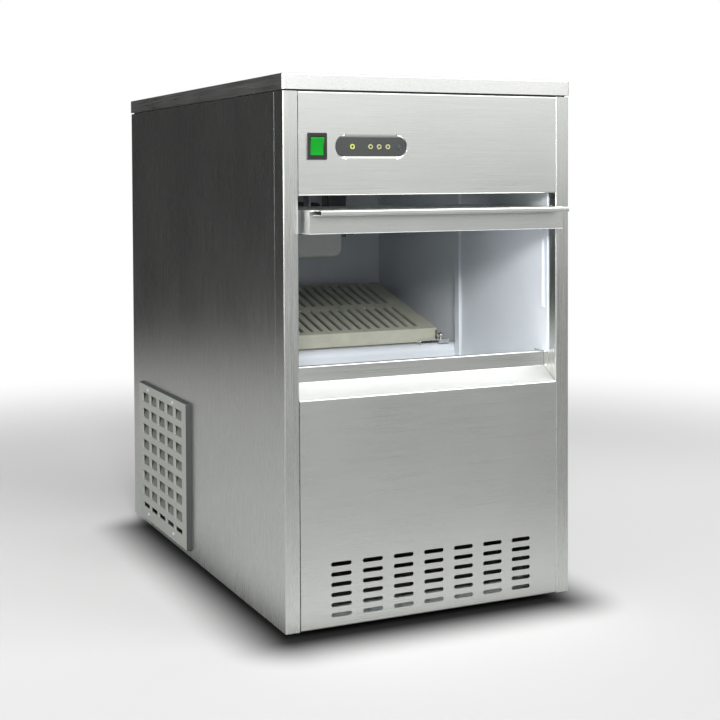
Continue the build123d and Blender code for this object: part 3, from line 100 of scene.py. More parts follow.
# %% [markdown]
# ## Shader helpers
# A node tree is a graph, and these few helpers keep the lines that build one short: one adds a node and
# sets its values, one joins two sockets, one maps a value through a two-stop ramp.

# %% Shader helpers


def add_node(tree, kind, values=None, **settings):
    node = tree.nodes.new(kind)
    for name, value in settings.items():
        setattr(node, name, value)
    for name, value in (values or {}).items():
        node.inputs[name].default_value = value
    return node


def join(tree, source, target):
    tree.links.new(source, target)


def map_range(tree, source, low, high, to_low=0.0, to_high=1.0, smooth=False):
    ends = {"From Min": low, "From Max": high, "To Min": to_low, "To Max": to_high}
    node = add_node(tree, "ShaderNodeMapRange", ends)
    if smooth:
        node.interpolation_type = "SMOOTHSTEP"
    join(tree, source, node.inputs["Value"])
    return node.outputs["Result"]


def mix_colour(tree, factor, first, second, blend="MIX"):
    node = add_node(tree, "ShaderNodeMix", data_type="RGBA", blend_type=blend)
    for socket, value in zip((node.inputs[0], node.inputs[6], node.inputs[7]), (factor, first, second)):
        if isinstance(value, bpy.types.NodeSocket):
            join(tree, value, socket)
        else:
            socket.default_value = value
    return node.outputs[2]


def calculate(tree, operation, *values):
    node = add_node(tree, "ShaderNodeMath", operation=operation)
    for socket, value in zip(node.inputs, values):
        if isinstance(value, bpy.types.NodeSocket):
            join(tree, value, socket)
        else:
            socket.default_value = value
    return node.outputs[0]


def new_group(name, inputs, outputs):
    group = bpy.data.node_groups.new(name, "ShaderNodeTree")
    for label, kind, default in inputs:
        socket = group.interface.new_socket(label, in_out="INPUT", socket_type=kind)
        if default is not None:
            socket.default_value = default
    for label, kind in outputs:
        group.interface.new_socket(label, in_out="OUTPUT", socket_type=kind)
    return group, group.nodes.new("NodeGroupInput"), group.nodes.new("NodeGroupOutput")


def grey(value):
    return (value, value, value, 1.0)


# %% [markdown]
# ## Shared effects
# Brushed sheet shows very fine lines that all run one way. Noise that is squeezed hard across the lines and
# left long along them gives that, and a second, wider noise gives the soft clouding of a handled panel.
# Moulded plastic has a fine spark-eroded grain with no direction, and the same clouding.

# %% Brushed lines
FLOAT, VECTOR = "NodeSocketFloat", "NodeSocketVector"

brushed, g_in, g_out = new_group(
    "brushed_lines",
    [("Vector", VECTOR, None), ("Fineness", FLOAT, 1.0), ("Clouding", FLOAT, 9.0)],
    [("Lines", FLOAT), ("Cloud", FLOAT)])
squeeze = add_node(brushed, "ShaderNodeVectorMath", operation="SCALE")
join(brushed, g_in.outputs["Vector"], squeeze.inputs[0])
join(brushed, g_in.outputs["Fineness"], squeeze.inputs["Scale"])
lines = add_node(brushed, "ShaderNodeTexNoise", {"Scale": 1.0, "Detail": 3.0, "Roughness": 0.65})
join(brushed, squeeze.outputs[0], lines.inputs["Vector"])
cloud = add_node(brushed, "ShaderNodeTexNoise", {"Detail": 2.0, "Roughness": 0.5})
place = add_node(brushed, "ShaderNodeTexCoord")
join(brushed, place.outputs["Object"], cloud.inputs["Vector"])
join(brushed, g_in.outputs["Clouding"], cloud.inputs["Scale"])
join(brushed, map_range(brushed, lines.outputs["Fac"], 0.3, 0.7), g_out.inputs["Lines"])
join(brushed, map_range(brushed, cloud.outputs["Fac"], 0.3, 0.7), g_out.inputs["Cloud"])

# %% Moulded grain
moulded, g_in, g_out = new_group(
    "moulded_grain",
    [("Grain Scale", FLOAT, 1500.0), ("Clouding", FLOAT, 14.0)],
    [("Grain", FLOAT), ("Cloud", FLOAT)])
place = add_node(moulded, "ShaderNodeTexCoord")
fine = add_node(moulded, "ShaderNodeTexVoronoi", feature="SMOOTH_F1")
join(moulded, place.outputs["Object"], fine.inputs["Vector"])
join(moulded, g_in.outputs["Grain Scale"], fine.inputs["Scale"])
cloud = add_node(moulded, "ShaderNodeTexNoise", {"Detail": 3.0, "Roughness": 0.55})
join(moulded, place.outputs["Object"], cloud.inputs["Vector"])
join(moulded, g_in.outputs["Clouding"], cloud.inputs["Scale"])
join(moulded, fine.outputs["Distance"], g_out.inputs["Grain"])
join(moulded, map_range(moulded, cloud.outputs["Fac"], 0.3, 0.7), g_out.inputs["Cloud"])

# %% [markdown]
# ## Finishes
# Each finish below is one function, so a panel whose lines run up and a sill whose lines run across share
# everything but the squeeze. The Principled shader itself stays in the material.

# %% Metal finishes


def metal(name, colour, squeeze_by, rough=0.3, spread=0.1, relief=0.02, tone=0.05, clouding=9.0,
          anisotropy=0.0):
    material = bpy.data.materials.new(name)
    material.use_nodes = True
    tree = material.node_tree
    shader = tree.nodes["Principled BSDF"]
    shader.inputs["Metallic"].default_value = 1.0
    shader.inputs["Anisotropic"].default_value = anisotropy
    place = add_node(tree, "ShaderNodeTexCoord")
    mapping = add_node(tree, "ShaderNodeMapping", {"Scale": squeeze_by})
    join(tree, place.outputs["Object"], mapping.inputs["Vector"])
    effect = add_node(tree, "ShaderNodeGroup", node_tree=brushed)
    effect.inputs["Clouding"].default_value = clouding
    join(tree, mapping.outputs["Vector"], effect.inputs["Vector"])
    dark = tuple(c * (1 - tone) for c in colour) + (1.0,)
    light = tuple(min(c * (1 + tone), 1.0) for c in colour) + (1.0,)
    join(tree, mix_colour(tree, effect.outputs["Lines"], dark, light), shader.inputs["Base Color"])
    lined = map_range(tree, effect.outputs["Lines"], 0.0, 1.0, rough - spread, rough + spread)
    clouded = map_range(tree, effect.outputs["Cloud"], 0.0, 1.0, -0.25 * spread, 0.25 * spread)
    join(tree, calculate(tree, "ADD", lined, clouded), shader.inputs["Roughness"])
    bump = add_node(tree, "ShaderNodeBump", {"Strength": relief, "Distance": 0.0005})
    join(tree, effect.outputs["Lines"], bump.inputs["Height"])
    join(tree, bump.outputs["Normal"], shader.inputs["Normal"])
    return material


UPRIGHT = (2000.0, 2000.0, 12.0)
ACROSS = (7.0, 2600.0, 2600.0)
ALONG_Y = (1400.0, 9.0, 1400.0)
EVEN = (260.0, 260.0, 260.0)
STAINLESS = (0.72, 0.735, 0.71)

steel_side = metal("stainless_side", STAINLESS, UPRIGHT, rough=0.27, spread=0.05, tone=0.02)
steel_front = metal("stainless_front", STAINLESS, ACROSS, rough=0.3, spread=0.04, relief=0.04, tone=0.01)
# The slope band is the same stainless, rougher and more deeply lined, and its darker colour is painted shade
# that tones down the light it catches.
slope_painted_shade_steel = metal("stainless_slope_painted_shade", (0.66, 0.665, 0.65), ACROSS, rough=0.55, relief=0.3, tone=0.02)
steel_cover = metal("stainless_cover", (0.8, 0.81, 0.79), ALONG_Y, rough=0.33)
steel_small = metal("stainless_bracket", (0.74, 0.75, 0.74), ACROSS, rough=0.26)
zinc = metal("zinc_coat", (0.55, 0.57, 0.58), EVEN, rough=0.42, spread=0.12, clouding=60.0, tone=0.12)
nickel = metal("nickel_plate", (0.76, 0.75, 0.73), EVEN, rough=0.2, spread=0.05, tone=0.02)
copper = metal("drawn_copper", (0.75, 0.4, 0.27), EVEN, rough=0.3, clouding=40.0, tone=0.1)
fin_metal = metal("fin_aluminium", (0.72, 0.73, 0.74), UPRIGHT, rough=0.35)

# %% Plastic, rubber and paint finishes


def plastic(name, colour, rough=0.45, relief=0.05, grain=1500.0, tone=0.03, clouding=14.0, coat=0.0,
            glow=None):
    material = bpy.data.materials.new(name)
    material.use_nodes = True
    tree = material.node_tree
    shader = tree.nodes["Principled BSDF"]
    shader.inputs["Coat Weight"].default_value = coat
    shader.inputs["Coat Roughness"].default_value = 0.12
    effect = add_node(tree, "ShaderNodeGroup", node_tree=moulded)
    effect.inputs["Grain Scale"].default_value = grain
    effect.inputs["Clouding"].default_value = clouding
    dark = tuple(c * (1 - tone) for c in colour) + (1.0,)
    light = tuple(min(c * (1 + tone), 1.0) for c in colour) + (1.0,)
    paint = mix_colour(tree, effect.outputs["Cloud"], dark, light)
    join(tree, paint, shader.inputs["Base Color"])
    rough_here = map_range(tree, effect.outputs["Cloud"], 0.0, 1.0, rough - 0.05, rough + 0.05)
    join(tree, rough_here, shader.inputs["Roughness"])
    bump = add_node(tree, "ShaderNodeBump", {"Strength": relief, "Distance": 0.0003})
    join(tree, effect.outputs["Grain"], bump.inputs["Height"])
    join(tree, bump.outputs["Normal"], shader.inputs["Normal"])
    if glow:
        join(tree, paint, shader.inputs["Emission Color"])
        shader.inputs["Emission Strength"].default_value = glow
    return material


liner_plastic = plastic("liner_plastic", (0.8, 0.84, 0.88), rough=0.38, coat=0.1, relief=0.02)
grille_plastic = plastic("grille_plastic", (0.33, 0.345, 0.315), rough=0.5, relief=0.1)
grid_plastic = plastic("grid_plastic", (0.5, 0.5, 0.41), rough=0.42, relief=0.08, tone=0.08, clouding=40.0)
grey_plastic = plastic("grey_plastic", (0.4, 0.42, 0.43), rough=0.4)
tray_plastic = plastic("tray_plastic", (0.72, 0.72, 0.67), rough=0.4)
# Dark grey on the vanes: the grille plastic darkened as painted shade of the recess behind the openings.
vane_painted_shade = plastic("grille_vane_painted_shade", (0.15, 0.16, 0.145), rough=0.55, relief=0.1)
# Near black on the grille's raised rim: painted shade for the dark shadow line along its edge.
rim_painted_shade = plastic("grille_rim_painted_shade", (0.03, 0.034, 0.033), rough=0.75, relief=0.1)
window_plastic = plastic("window_film", (0.032, 0.034, 0.034), rough=0.45, relief=0.15)
lens_plastic = plastic("lamp_lens", (0.36, 0.36, 0.2), rough=0.3, relief=0.0)
lit_plastic = plastic("lit_lens", (0.46, 0.5, 0.13), rough=0.25, relief=0.0, glow=0.08)
core_plastic = plastic("lamp_core", (0.05, 0.05, 0.03), rough=0.3, relief=0.0)
button_plastic = plastic("button_plastic", (0.045, 0.05, 0.058), rough=0.3)
switch_plastic = plastic("switch_black", (0.012, 0.012, 0.012), rough=0.3, coat=0.2)
rocker_plastic = plastic("rocker_green", (0.0, 0.24, 0.012), rough=0.3, relief=0.0, coat=0.1, glow=0.07)
foam_plastic = plastic("rigid_foam", (0.82, 0.74, 0.5), rough=0.8, relief=0.5, grain=500.0, tone=0.08)
rubber = plastic("black_rubber", (0.03, 0.03, 0.032), rough=0.6, relief=0.1)
foot_rubber = plastic("foot_rubber", (0.06, 0.058, 0.06), rough=0.28, coat=0.3)
white_plastic = plastic("white_plastic", (0.8, 0.8, 0.77), rough=0.4)
sleeve_foam = plastic("pipe_sleeve_foam", (0.13, 0.13, 0.125), rough=0.75, relief=0.4, grain=600.0)
black_paint = plastic("black_paint", (0.015, 0.015, 0.017), rough=0.25, coat=0.3, grain=700.0)
motor_paint = plastic("motor_paint", (0.2, 0.2, 0.195), rough=0.35, coat=0.1)
board_lacquer = plastic("board_lacquer", (0.02, 0.14, 0.05), rough=0.3, coat=0.4, clouding=90.0, tone=0.3)

# %% [markdown]
# ## Finishes on the construction model
# Every node keeps a finish of its own even where nothing is rebuilt, so that a part taken out of the
# cabinet on the bench looks right by itself.

# %% Finishes by node
FINISH = {
    steel_side: "left_side_panel right_side_panel back_panel front_post_left front_post_right",
    steel_front: "lower_front_panel control_panel door_skin",
    steel_cover: "top_cover",
    steel_small: "sensor_bracket",
    zinc: "base_pan control_box fan_shroud evaporator_frame",
    liner_plastic: "bin_liner liner_lid guide_panel_left guide_panel_right door_liner chamber_frame",
    grille_plastic: "side_grille",
    grid_plastic: "drain_grid",
    tray_plastic: "water_tray",
    grey_plastic: "water_reservoir guide_corner_buttons door_pins grille_screws",
    window_plastic: "indicator_window",
    lens_plastic: "indicator_lamps",
    button_plastic: "select_button",
    switch_plastic: "switch_body terminal_cover",
    rocker_plastic: "switch_rocker",
    foam_plastic: "insulation_foam door_foam",
    rubber: "cover_seal compressor_grommets cord_bush",
    foot_rubber: "foot_front_left foot_front_right foot_rear_left foot_rear_right",
    white_plastic: "circulation_pump water_inlet_valve drain_spigot drain_hose water_hoses",
    black_paint: "compressor",
    copper: "condenser_pipes filter_drier",
    sleeve_foam: "evaporator_pipes",
    nickel: "evaporator tray_shaft thumb_screw",
    motor_paint: "fan_motor tray_motor",
    fin_metal: "condenser fan_blade",
    board_lacquer: "power_board display_board",
}
finish_of = {name: finish for finish, names in FINISH.items() for name in names.split()}
for name, cad in NODES.items():
    cad.data.materials.clear()
    cad.data.materials.append(finish_of[name])
print("nodes with a finish:", len(finish_of))

# %% [markdown]
# ## Softened copies
# Sheet and mouldings never have knife edges: a break of a few tenths of a millimetre catches a line of
# light. Each copy below is merged, its flat faces are made whole again, its sharp edges get that small
# round, and weighted normals keep the flats flat. The back panel and the top cover tear in that
# treatment, so they show the construction mesh as it is, and so does the folded door skin.

# %% Softened copies
body_of = {n: body for body, names in frame["record"]["behaviour"]["bodies"].items() for n in names}


def keep(mesh, name, body, finish=None, replaces=()):
    piece = bpy.data.objects.new(name, mesh)
    bpy.context.scene.collection.objects.link(piece)
    if finish:
        mesh.materials.clear()
        mesh.materials.append(finish)
    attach(piece, body)
    if replaces:
        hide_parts(*replaces)
    return piece


def apply_modifiers(mesh, *steps):
    holder = bpy.data.objects.new("bench", mesh)
    bpy.context.scene.collection.objects.link(holder)
    for kind, settings in steps:
        modifier = holder.modifiers.new(kind.lower(), kind)
        for key, value in settings.items():
            setattr(modifier, key, value)
    depsgraph = bpy.context.evaluated_depsgraph_get()
    result = bpy.data.meshes.new_from_object(holder.evaluated_get(depsgraph))
    bpy.data.objects.remove(holder)
    return result


def soften(mesh, width, smooth_angle=35.0, segments=2):
    rounds = ("BEVEL", {"width": width, "segments": segments, "limit_method": "ANGLE",
                        "angle_limit": math.radians(smooth_angle), "use_clamp_overlap": True,
                        "miter_outer": "MITER_ARC"})
    mesh.polygons.foreach_set("use_smooth", [True] * len(mesh.polygons))
    result = apply_modifiers(mesh, rounds, ("WEIGHTED_NORMAL", {"keep_sharp": True, "weight": 80}))
    return result


def softened_copy(name, width=0.3 * MM, smooth_angle=35.0):
    mesh = NODES[name].data.copy()
    build = bmesh.new()
    build.from_mesh(mesh)
    bmesh.ops.remove_doubles(build, verts=build.verts, dist=1e-6)
    bmesh.ops.dissolve_limit(build, angle_limit=math.radians(0.4), verts=build.verts, edges=build.edges)
    build.to_mesh(mesh)
    build.free()
    mesh.name = name + "_soft"
    return keep(soften(mesh, width, smooth_angle), name + "_finished", body_of[name],
                finish_of[name], [name])


SOFT_EDGES = {
    "left_side_panel": 0.15, "right_side_panel": 0.15,
    "front_post_left": 0.12, "front_post_right": 0.12, "lower_front_panel": 0.12, "control_panel": 0.12,
    "door_liner": 0.6, "bin_liner": 0.8, "guide_panel_left": 0.4, "guide_panel_right": 0.4,
    "chamber_frame": 0.5, "sensor_bracket": 0.25, "thumb_screw": 0.3,
    "switch_body": 0.25, "switch_rocker": 0.4, "water_tray": 0.8, "indicator_window": 0.1,
    "foot_front_left": 0.5, "foot_front_right": 0.5, "foot_rear_left": 0.5, "foot_rear_right": 0.5,
    "evaporator_frame": 0.3, "evaporator": 0.3, "water_reservoir": 0.8, "tray_motor": 0.6,
    "water_inlet_valve": 0.4, "drain_spigot": 0.4, "cord_bush": 0.3, "base_pan": 0.2, "door_pins": 0.2,
}
for name, width in SOFT_EDGES.items():
    copy = softened_copy(name, width * MM)
    if name == "lower_front_panel":
        # The upward-sloping band takes the darker stainless, a painted shade.
        copy.data.materials.append(slope_painted_shade_steel)
        for face in copy.data.polygons:
            if 0.7 < face.normal.z < 0.95:
                face.material_index = 1
print("softened copies:", len(SOFT_EDGES))

# %% [markdown]
# ## Indicator lamps
# Each lamp is a lens with a bright ring round a darker core, and the first one is lit. The ring is turned
# round the lamp's own axis from a short profile, and the stem behind it reaches the display board.

# %% Indicator lamps
low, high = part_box("indicator_lamps")
LENS_R, CORE_R, RING_TOP = 3.1 * MM, 1.5 * MM, 0.45 * MM
lamp_z = (low.z + high.z) / 2
lamp_x = [low.x + 3.5 * MM + step * MM for step in (0.0, 22.9, 34.0, 45.3)]
PROFILE = [(0.0, 0.35 * MM), (CORE_R, 0.3 * MM), (CORE_R + 0.3 * MM, 0.0), (LENS_R - 0.3 * MM, 0.0),
           (LENS_R, RING_TOP), (LENS_R, high.y - low.y)]


def turned(profile, x, y, z, steps=32):
    """Turn a profile of (radius, depth) round a line that runs straight back from the front."""
    build = bmesh.new()
    rings = []
    for radius, depth in profile:
        ring = []
        for i in range(steps):
            angle = math.tau * i / steps
            corner = (x + radius * math.cos(angle), y + depth, z + radius * math.sin(angle))
            ring.append(build.verts.new(corner))
        rings.append(ring)
    for number, (ring, after) in enumerate(zip(rings, rings[1:])):
        for i in range(steps):
            j = (i + 1) % steps
            build.faces.new((ring[i], ring[j], after[j], after[i])).material_index = 0 if number else 1
    build.faces.new(rings[-1])
    bmesh.ops.remove_doubles(build, verts=build.verts, dist=1e-7)
    bmesh.ops.recalc_face_normals(build, faces=build.faces)
    mesh = bpy.data.meshes.new("turned")
    build.to_mesh(mesh)
    build.free()
    return mesh


for number, x in enumerate(lamp_x):
    mesh = turned(PROFILE, x, low.y, lamp_z)
    mesh.materials.append(lens_plastic if number else lit_plastic)
    mesh.materials.append(core_plastic)
    keep(mesh, "lamp_%d" % (number + 1), body_of["indicator_lamps"],
         replaces=["indicator_lamps"])
print("lamps:", len(lamp_x))

# %% [markdown]
# ## Perforated sheets
# The drain grid and the face of the air grille are the same idea at two sizes: a sheet with rows of rounded
# openings. One tree draws the outline and one opening, sets a copy of the opening on each point of a grid,
# fills what lies between and gives the fill its thickness.

# %% Tree for a perforated sheet


def geometry_tree(name, inputs):
    tree = bpy.data.node_groups.new(name, "GeometryNodeTree")
    for label, kind in inputs:
        tree.interface.new_socket(label, in_out="INPUT", socket_type=kind)
    tree.interface.new_socket("Geometry", in_out="OUTPUT", socket_type="NodeSocketGeometry")
    return tree, tree.nodes.new("NodeGroupInput"), tree.nodes.new("NodeGroupOutput")


def finish_tree(tree, given, result, geometry):
    realize = add_node(tree, "GeometryNodeRealizeInstances")
    paint = add_node(tree, "GeometryNodeSetMaterial")
    join(tree, geometry, realize.inputs[0])
    join(tree, realize.outputs[0], paint.inputs["Geometry"])
    join(tree, given.outputs["Material"], paint.inputs["Material"])
    join(tree, paint.outputs[0], result.inputs["Geometry"])


def rounded_frame(tree, wide, high, corner):
    frame_curve = add_node(tree, "GeometryNodeCurvePrimitiveQuadrilateral")
    bend = add_node(tree, "GeometryNodeFilletCurve", mode="POLY")
    bend.inputs["Count"].default_value = 5
    join(tree, wide, frame_curve.inputs["Width"])
    join(tree, high, frame_curve.inputs["Height"])
    join(tree, frame_curve.outputs[0], bend.inputs["Curve"])
    join(tree, corner, bend.inputs["Radius"])
    return bend.outputs[0]


INT, OBJECT, MATERIAL = "NodeSocketInt", "NodeSocketObject", "NodeSocketMaterial"
perforated, given, result = geometry_tree("perforated_sheet", [
    ("Width", FLOAT), ("Height", FLOAT), ("Corner", FLOAT), ("Thickness", FLOAT),
    ("Columns", INT), ("Rows", INT),
    ("Across", FLOAT), ("Up", FLOAT), ("Hole Width", FLOAT), ("Hole Height", FLOAT), ("Hole Corner", FLOAT),
    ("Hole Shift", VECTOR), ("Material", MATERIAL)])
edge = rounded_frame(perforated, given.outputs["Width"], given.outputs["Height"], given.outputs["Corner"])
hole = rounded_frame(perforated, given.outputs["Hole Width"], given.outputs["Hole Height"],
                     given.outputs["Hole Corner"])
points = add_node(perforated, "GeometryNodeMeshGrid")
GRID_SOCKETS = (("Across", "Columns", "Size X", "Vertices X"), ("Up", "Rows", "Size Y", "Vertices Y"))
for size, count, target, steps in GRID_SOCKETS:
    join(perforated, given.outputs[size], points.inputs[target])
    join(perforated, given.outputs[count], points.inputs[steps])
moved = add_node(perforated, "GeometryNodeTransform")
join(perforated, points.outputs["Mesh"], moved.inputs["Geometry"])
join(perforated, given.outputs["Hole Shift"], moved.inputs["Translation"])
holes = add_node(perforated, "GeometryNodeInstanceOnPoints")
join(perforated, moved.outputs[0], holes.inputs["Points"])
join(perforated, hole, holes.inputs["Instance"])
real = add_node(perforated, "GeometryNodeRealizeInstances")
join(perforated, holes.outputs[0], real.inputs[0])
together = add_node(perforated, "GeometryNodeJoinGeometry")
join(perforated, real.outputs[0], together.inputs[0])
join(perforated, edge, together.inputs[0])
fill = add_node(perforated, "GeometryNodeFillCurve")
join(perforated, together.outputs[0], fill.inputs["Curve"])
extrude = add_node(perforated, "GeometryNodeExtrudeMesh", {"Individual": False})
join(perforated, fill.outputs[0], extrude.inputs["Mesh"])
join(perforated, given.outputs["Thickness"], extrude.inputs["Offset Scale"])
back = add_node(perforated, "GeometryNodeFlipFaces")
join(perforated, fill.outputs[0], back.inputs["Mesh"])
sheet = add_node(perforated, "GeometryNodeJoinGeometry")
join(perforated, back.outputs[0], sheet.inputs[0])
join(perforated, extrude.outputs["Mesh"], sheet.inputs[0])
merged = add_node(perforated, "GeometryNodeMergeByDistance", {"Distance": 1e-5})
join(perforated, sheet.outputs[0], merged.inputs["Geometry"])
finish_tree(perforated, given, result, merged.outputs[0])

# %% [markdown]
# The second tree repeats one piece along a line, as the vanes behind the grille do.

# %% Tree for a row of copies
row_tree, given, result = geometry_tree("row_of_copies", [
    ("Piece", OBJECT), ("Count", INT), ("Step", VECTOR), ("Material", MATERIAL)])
row_points = add_node(row_tree, "GeometryNodeMeshLine")
join(row_tree, given.outputs["Count"], row_points.inputs["Count"])
join(row_tree, given.outputs["Step"], row_points.inputs["Offset"])
piece_info = add_node(row_tree, "GeometryNodeObjectInfo")
join(row_tree, given.outputs["Piece"], piece_info.inputs["Object"])
copies = add_node(row_tree, "GeometryNodeInstanceOnPoints")
join(row_tree, row_points.outputs[0], copies.inputs["Points"])
join(row_tree, piece_info.outputs["Geometry"], copies.inputs["Instance"])
finish_tree(row_tree, given, result, copies.outputs[0])


def grow(tree, name, **values):
    """Bake what the tree makes with these inputs into a plain mesh."""
    holder = bpy.data.objects.new("bench", bpy.data.meshes.new("bench"))
    bpy.context.scene.collection.objects.link(holder)
    modifier = holder.modifiers.new(tree.name, "NODES")
    modifier.node_group = tree
    sockets = {item.name: item.identifier for item in tree.interface.items_tree if item.in_out == "INPUT"}
    for label, value in values.items():
        modifier[sockets[label.replace("_", " ")]] = value
    holder.update_tag()
    depsgraph = bpy.context.evaluated_depsgraph_get()
    mesh = bpy.data.meshes.new_from_object(holder.evaluated_get(depsgraph))
    holder.modifiers.remove(modifier)
    bpy.data.objects.remove(holder)
    mesh.name = name
    return mesh


# %% Helpers for small solids


def prism(profile, low, high, place):
    """A straight bar: the profile's points, each given a place at both ends."""
    count = len(profile)
    points = [place(a, b, end) for end in (low, high) for a, b in profile]
    sides = [(i, (i + 1) % count, count + (i + 1) % count, count + i) for i in range(count)]
    mesh = bpy.data.meshes.new("bar")
    mesh.from_pydata(points, [], sides + [tuple(range(count))[::-1], tuple(range(count, 2 * count))])
    return outward(mesh)


def outward(mesh):
    build = bmesh.new()
    build.from_mesh(mesh)
    bmesh.ops.remove_doubles(build, verts=build.verts, dist=1e-7)
    bmesh.ops.recalc_face_normals(build, faces=build.faces)
    build.to_mesh(mesh)
    build.free()
    return mesh


def gathered(name, meshes):
    build = bmesh.new()
    for mesh in meshes:
        build.from_mesh(mesh)
    whole = bpy.data.meshes.new(name)
    build.to_mesh(whole)
    build.free()
    return whole


def rounded_loop(wide, high, corner, steps=5):
    points = []
    for turn, (sx, sy) in enumerate(((1, 1), (-1, 1), (-1, -1), (1, -1))):
        for i in range(steps + 1):
            angle = math.pi / 2 * (turn + i / steps)
            points.append((sx * (wide / 2 - corner) + corner * math.cos(angle),
                           sy * (high / 2 - corner) + corner * math.sin(angle)))
    return points


# %% [markdown]
# ## Drain grid
# Ice slides over the grid while water drops through it, so its slots run down the slope in two rows. The
# sheet is drawn flat by the tree, laid on the slope, and gets its front lip and two side walls.

# %% Drain grid
low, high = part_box("drain_grid")
SLOT_COUNT, SLOT_WIDE, SLOT_PITCH, GRID_THICK = 18, 6.0 * MM, 14.4 * MM, 3.0 * MM
GRID_RISE = 51.0 * MM
GRID_END, GRID_BAR, SKIRT = 10.0 * MM, 14.0 * MM, 12.0 * MM
run = high.y - low.y
grid_length = math.hypot(run, GRID_RISE)
stretch = grid_length / run
slot_long = (run - 2 * GRID_END - GRID_BAR) / 2 * stretch
sheet = grow(perforated, "grid_sheet", Width=high.x - low.x, Height=grid_length, Corner=0.3 * MM,
             Thickness=GRID_THICK, Columns=SLOT_COUNT, Rows=2, Across=SLOT_PITCH * (SLOT_COUNT - 1),
             Up=slot_long + GRID_BAR * stretch, Hole_Width=SLOT_WIDE, Hole_Height=slot_long,
             Hole_Corner=1.6 * MM, Material=grid_plastic)
tilt = math.atan2(GRID_RISE, run)
middle = Vector(((low.x + high.x) / 2, (low.y + high.y) / 2, high.z - GRID_RISE / 2))
lay = Matrix.Translation(middle) @ Matrix.Rotation(tilt, 4, "X") @ Matrix.Translation((0, 0, -GRID_THICK))
sheet.transform(lay)
top_front = high.z - GRID_RISE
wall = [(low.y, low.z), (low.y, top_front - 1 * MM), (high.y, high.z - 1 * MM), (high.y, high.z - SKIRT)]
lip = [(low.y, low.z), (low.y + 3 * MM, low.z), (low.y + 3 * MM, top_front - 0.4 * MM)]
for i in range(6):
    angle = math.pi / 2 * i / 5
    lip.append((low.y + 3 * MM - 3 * MM * math.sin(angle), top_front - 3 * MM + 3 * MM * math.cos(angle)))


def along_x(a, b, x):
    return (x, a, b)


bars = [prism(wall, low.x, low.x + 3 * MM, along_x), prism(wall, high.x - 3 * MM, high.x, along_x),
        prism(lip, low.x, high.x, along_x)]
soft_bars = [soften(bar, 0.5 * MM) for bar in bars]
grid_mesh = gathered("drain_grid_soft", [soften(sheet, 0.45 * MM)] + soft_bars)
keep(grid_mesh, "drain_grid_finished", body_of["drain_grid"], grid_plastic,
     ["drain_grid"])
print("drain grid slots:", 2 * SLOT_COUNT, "slope in degrees:", round(math.degrees(tilt), 1))

# %% [markdown]
# ## Side grille
# The grille is a moulded cover whose steep rim stands on the panel, its rim coloured near black as painted
# shade.
# Its openings form five columns and eight rows. Behind each row but the lowest a vane leans back and up, so
# it hides the condenser while air passes; the vanes are a darker grey as painted shade. The lowest row is low
# and dark.

# %% Side grille
low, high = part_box("side_grille")
COLUMNS, ROWS, WALL, RIM_SLOPE, RISE = 5, 8, 2.0 * MM, 2.0 * MM, 6.0 * MM
BAR_WIDE, BAR_HIGH = 7.5 * MM, 9.5 * MM
TOP_ROW, LOW_ROW = high.z - 21.0 * MM, low.z + 19.2 * MM
tall, deep = high.z - low.z, high.y - low.y
pitch_y = (deep - 75.0 * MM) / (COLUMNS - 1)
pitch_z = (TOP_ROW - LOW_ROW) / (ROWS - 1)
centre = Vector((low.x, (low.y + high.y) / 2, (low.z + high.z) / 2))
hole_high = pitch_z - BAR_HIGH
second_low = LOW_ROW + pitch_z
face_low = second_low - pitch_z / 2
face_top = high.z - RIM_SLOPE
foot_top, foot_low = face_low, low.z + RIM_SLOPE
face = grow(perforated, "grille_face", Width=deep - 2 * RIM_SLOPE, Height=face_top - face_low,
            Corner=0.1 * MM, Thickness=WALL, Columns=COLUMNS, Rows=ROWS - 1,
            Across=pitch_y * (COLUMNS - 1), Up=TOP_ROW - second_low,
            Hole_Width=pitch_y - BAR_WIDE, Hole_Height=hole_high, Hole_Corner=1.2 * MM,
            Hole_Shift=(0.0, (TOP_ROW + second_low) / 2 - (face_top + face_low) / 2, 0.0),
            Material=grille_plastic)
foot = grow(perforated, "grille_foot", Width=deep - 2 * RIM_SLOPE, Height=foot_top - foot_low,
            Corner=0.1 * MM, Thickness=WALL, Columns=COLUMNS, Rows=1, Across=pitch_y * (COLUMNS - 1), Up=0.0,
            Hole_Width=pitch_y - BAR_WIDE, Hole_Height=0.5 * hole_high, Hole_Corner=1.2 * MM,
            Hole_Shift=(0.0, LOW_ROW + 0.2 * hole_high - (foot_top + foot_low) / 2, 0.0),
            Material=grille_plastic)
stand = Matrix(((0, 0, -1, 0), (-1, 0, 0, 0), (0, 1, 0, 0), (0, 0, 0, 1)))
for part, middle_z in ((face, (face_top + face_low) / 2), (foot, (foot_top + foot_low) / 2)):
    part.transform(Matrix.Translation((centre.x + WALL, centre.y, middle_z)) @ stand)
loops = [(0.0, deep - 2 * RIM_SLOPE, tall - 2 * RIM_SLOPE, 1 * MM), (RISE, deep, tall, 3 * MM),
         (RISE, deep - 4 * MM, tall - 4 * MM, 1 * MM), (WALL, deep - 8 * MM, tall - 8 * MM, 1 * MM)]
points, sides = [], []
for inward, wide, high_z, corner in loops:
    points += [(centre.x + inward, centre.y + a, centre.z + b) for a, b in rounded_loop(wide, high_z, corner)]
per_loop = len(points) // len(loops)
for ring in range(len(loops) - 1):
    for i in range(per_loop):
        j = (i + 1) % per_loop
        here, beside = ring * per_loop, (ring + 1) * per_loop
        sides.append((here + i, here + j, beside + j, beside + i))
rim = bpy.data.meshes.new("rim")
rim.from_pydata(points, [], sides)
outward(rim)
vane_low, vane_high = TOP_ROW - hole_high / 2 - 2 * MM, TOP_ROW + hole_high / 2 + 2 * MM
x0, x1 = low.x + WALL - 0.2 * MM, low.x + 8.5 * MM
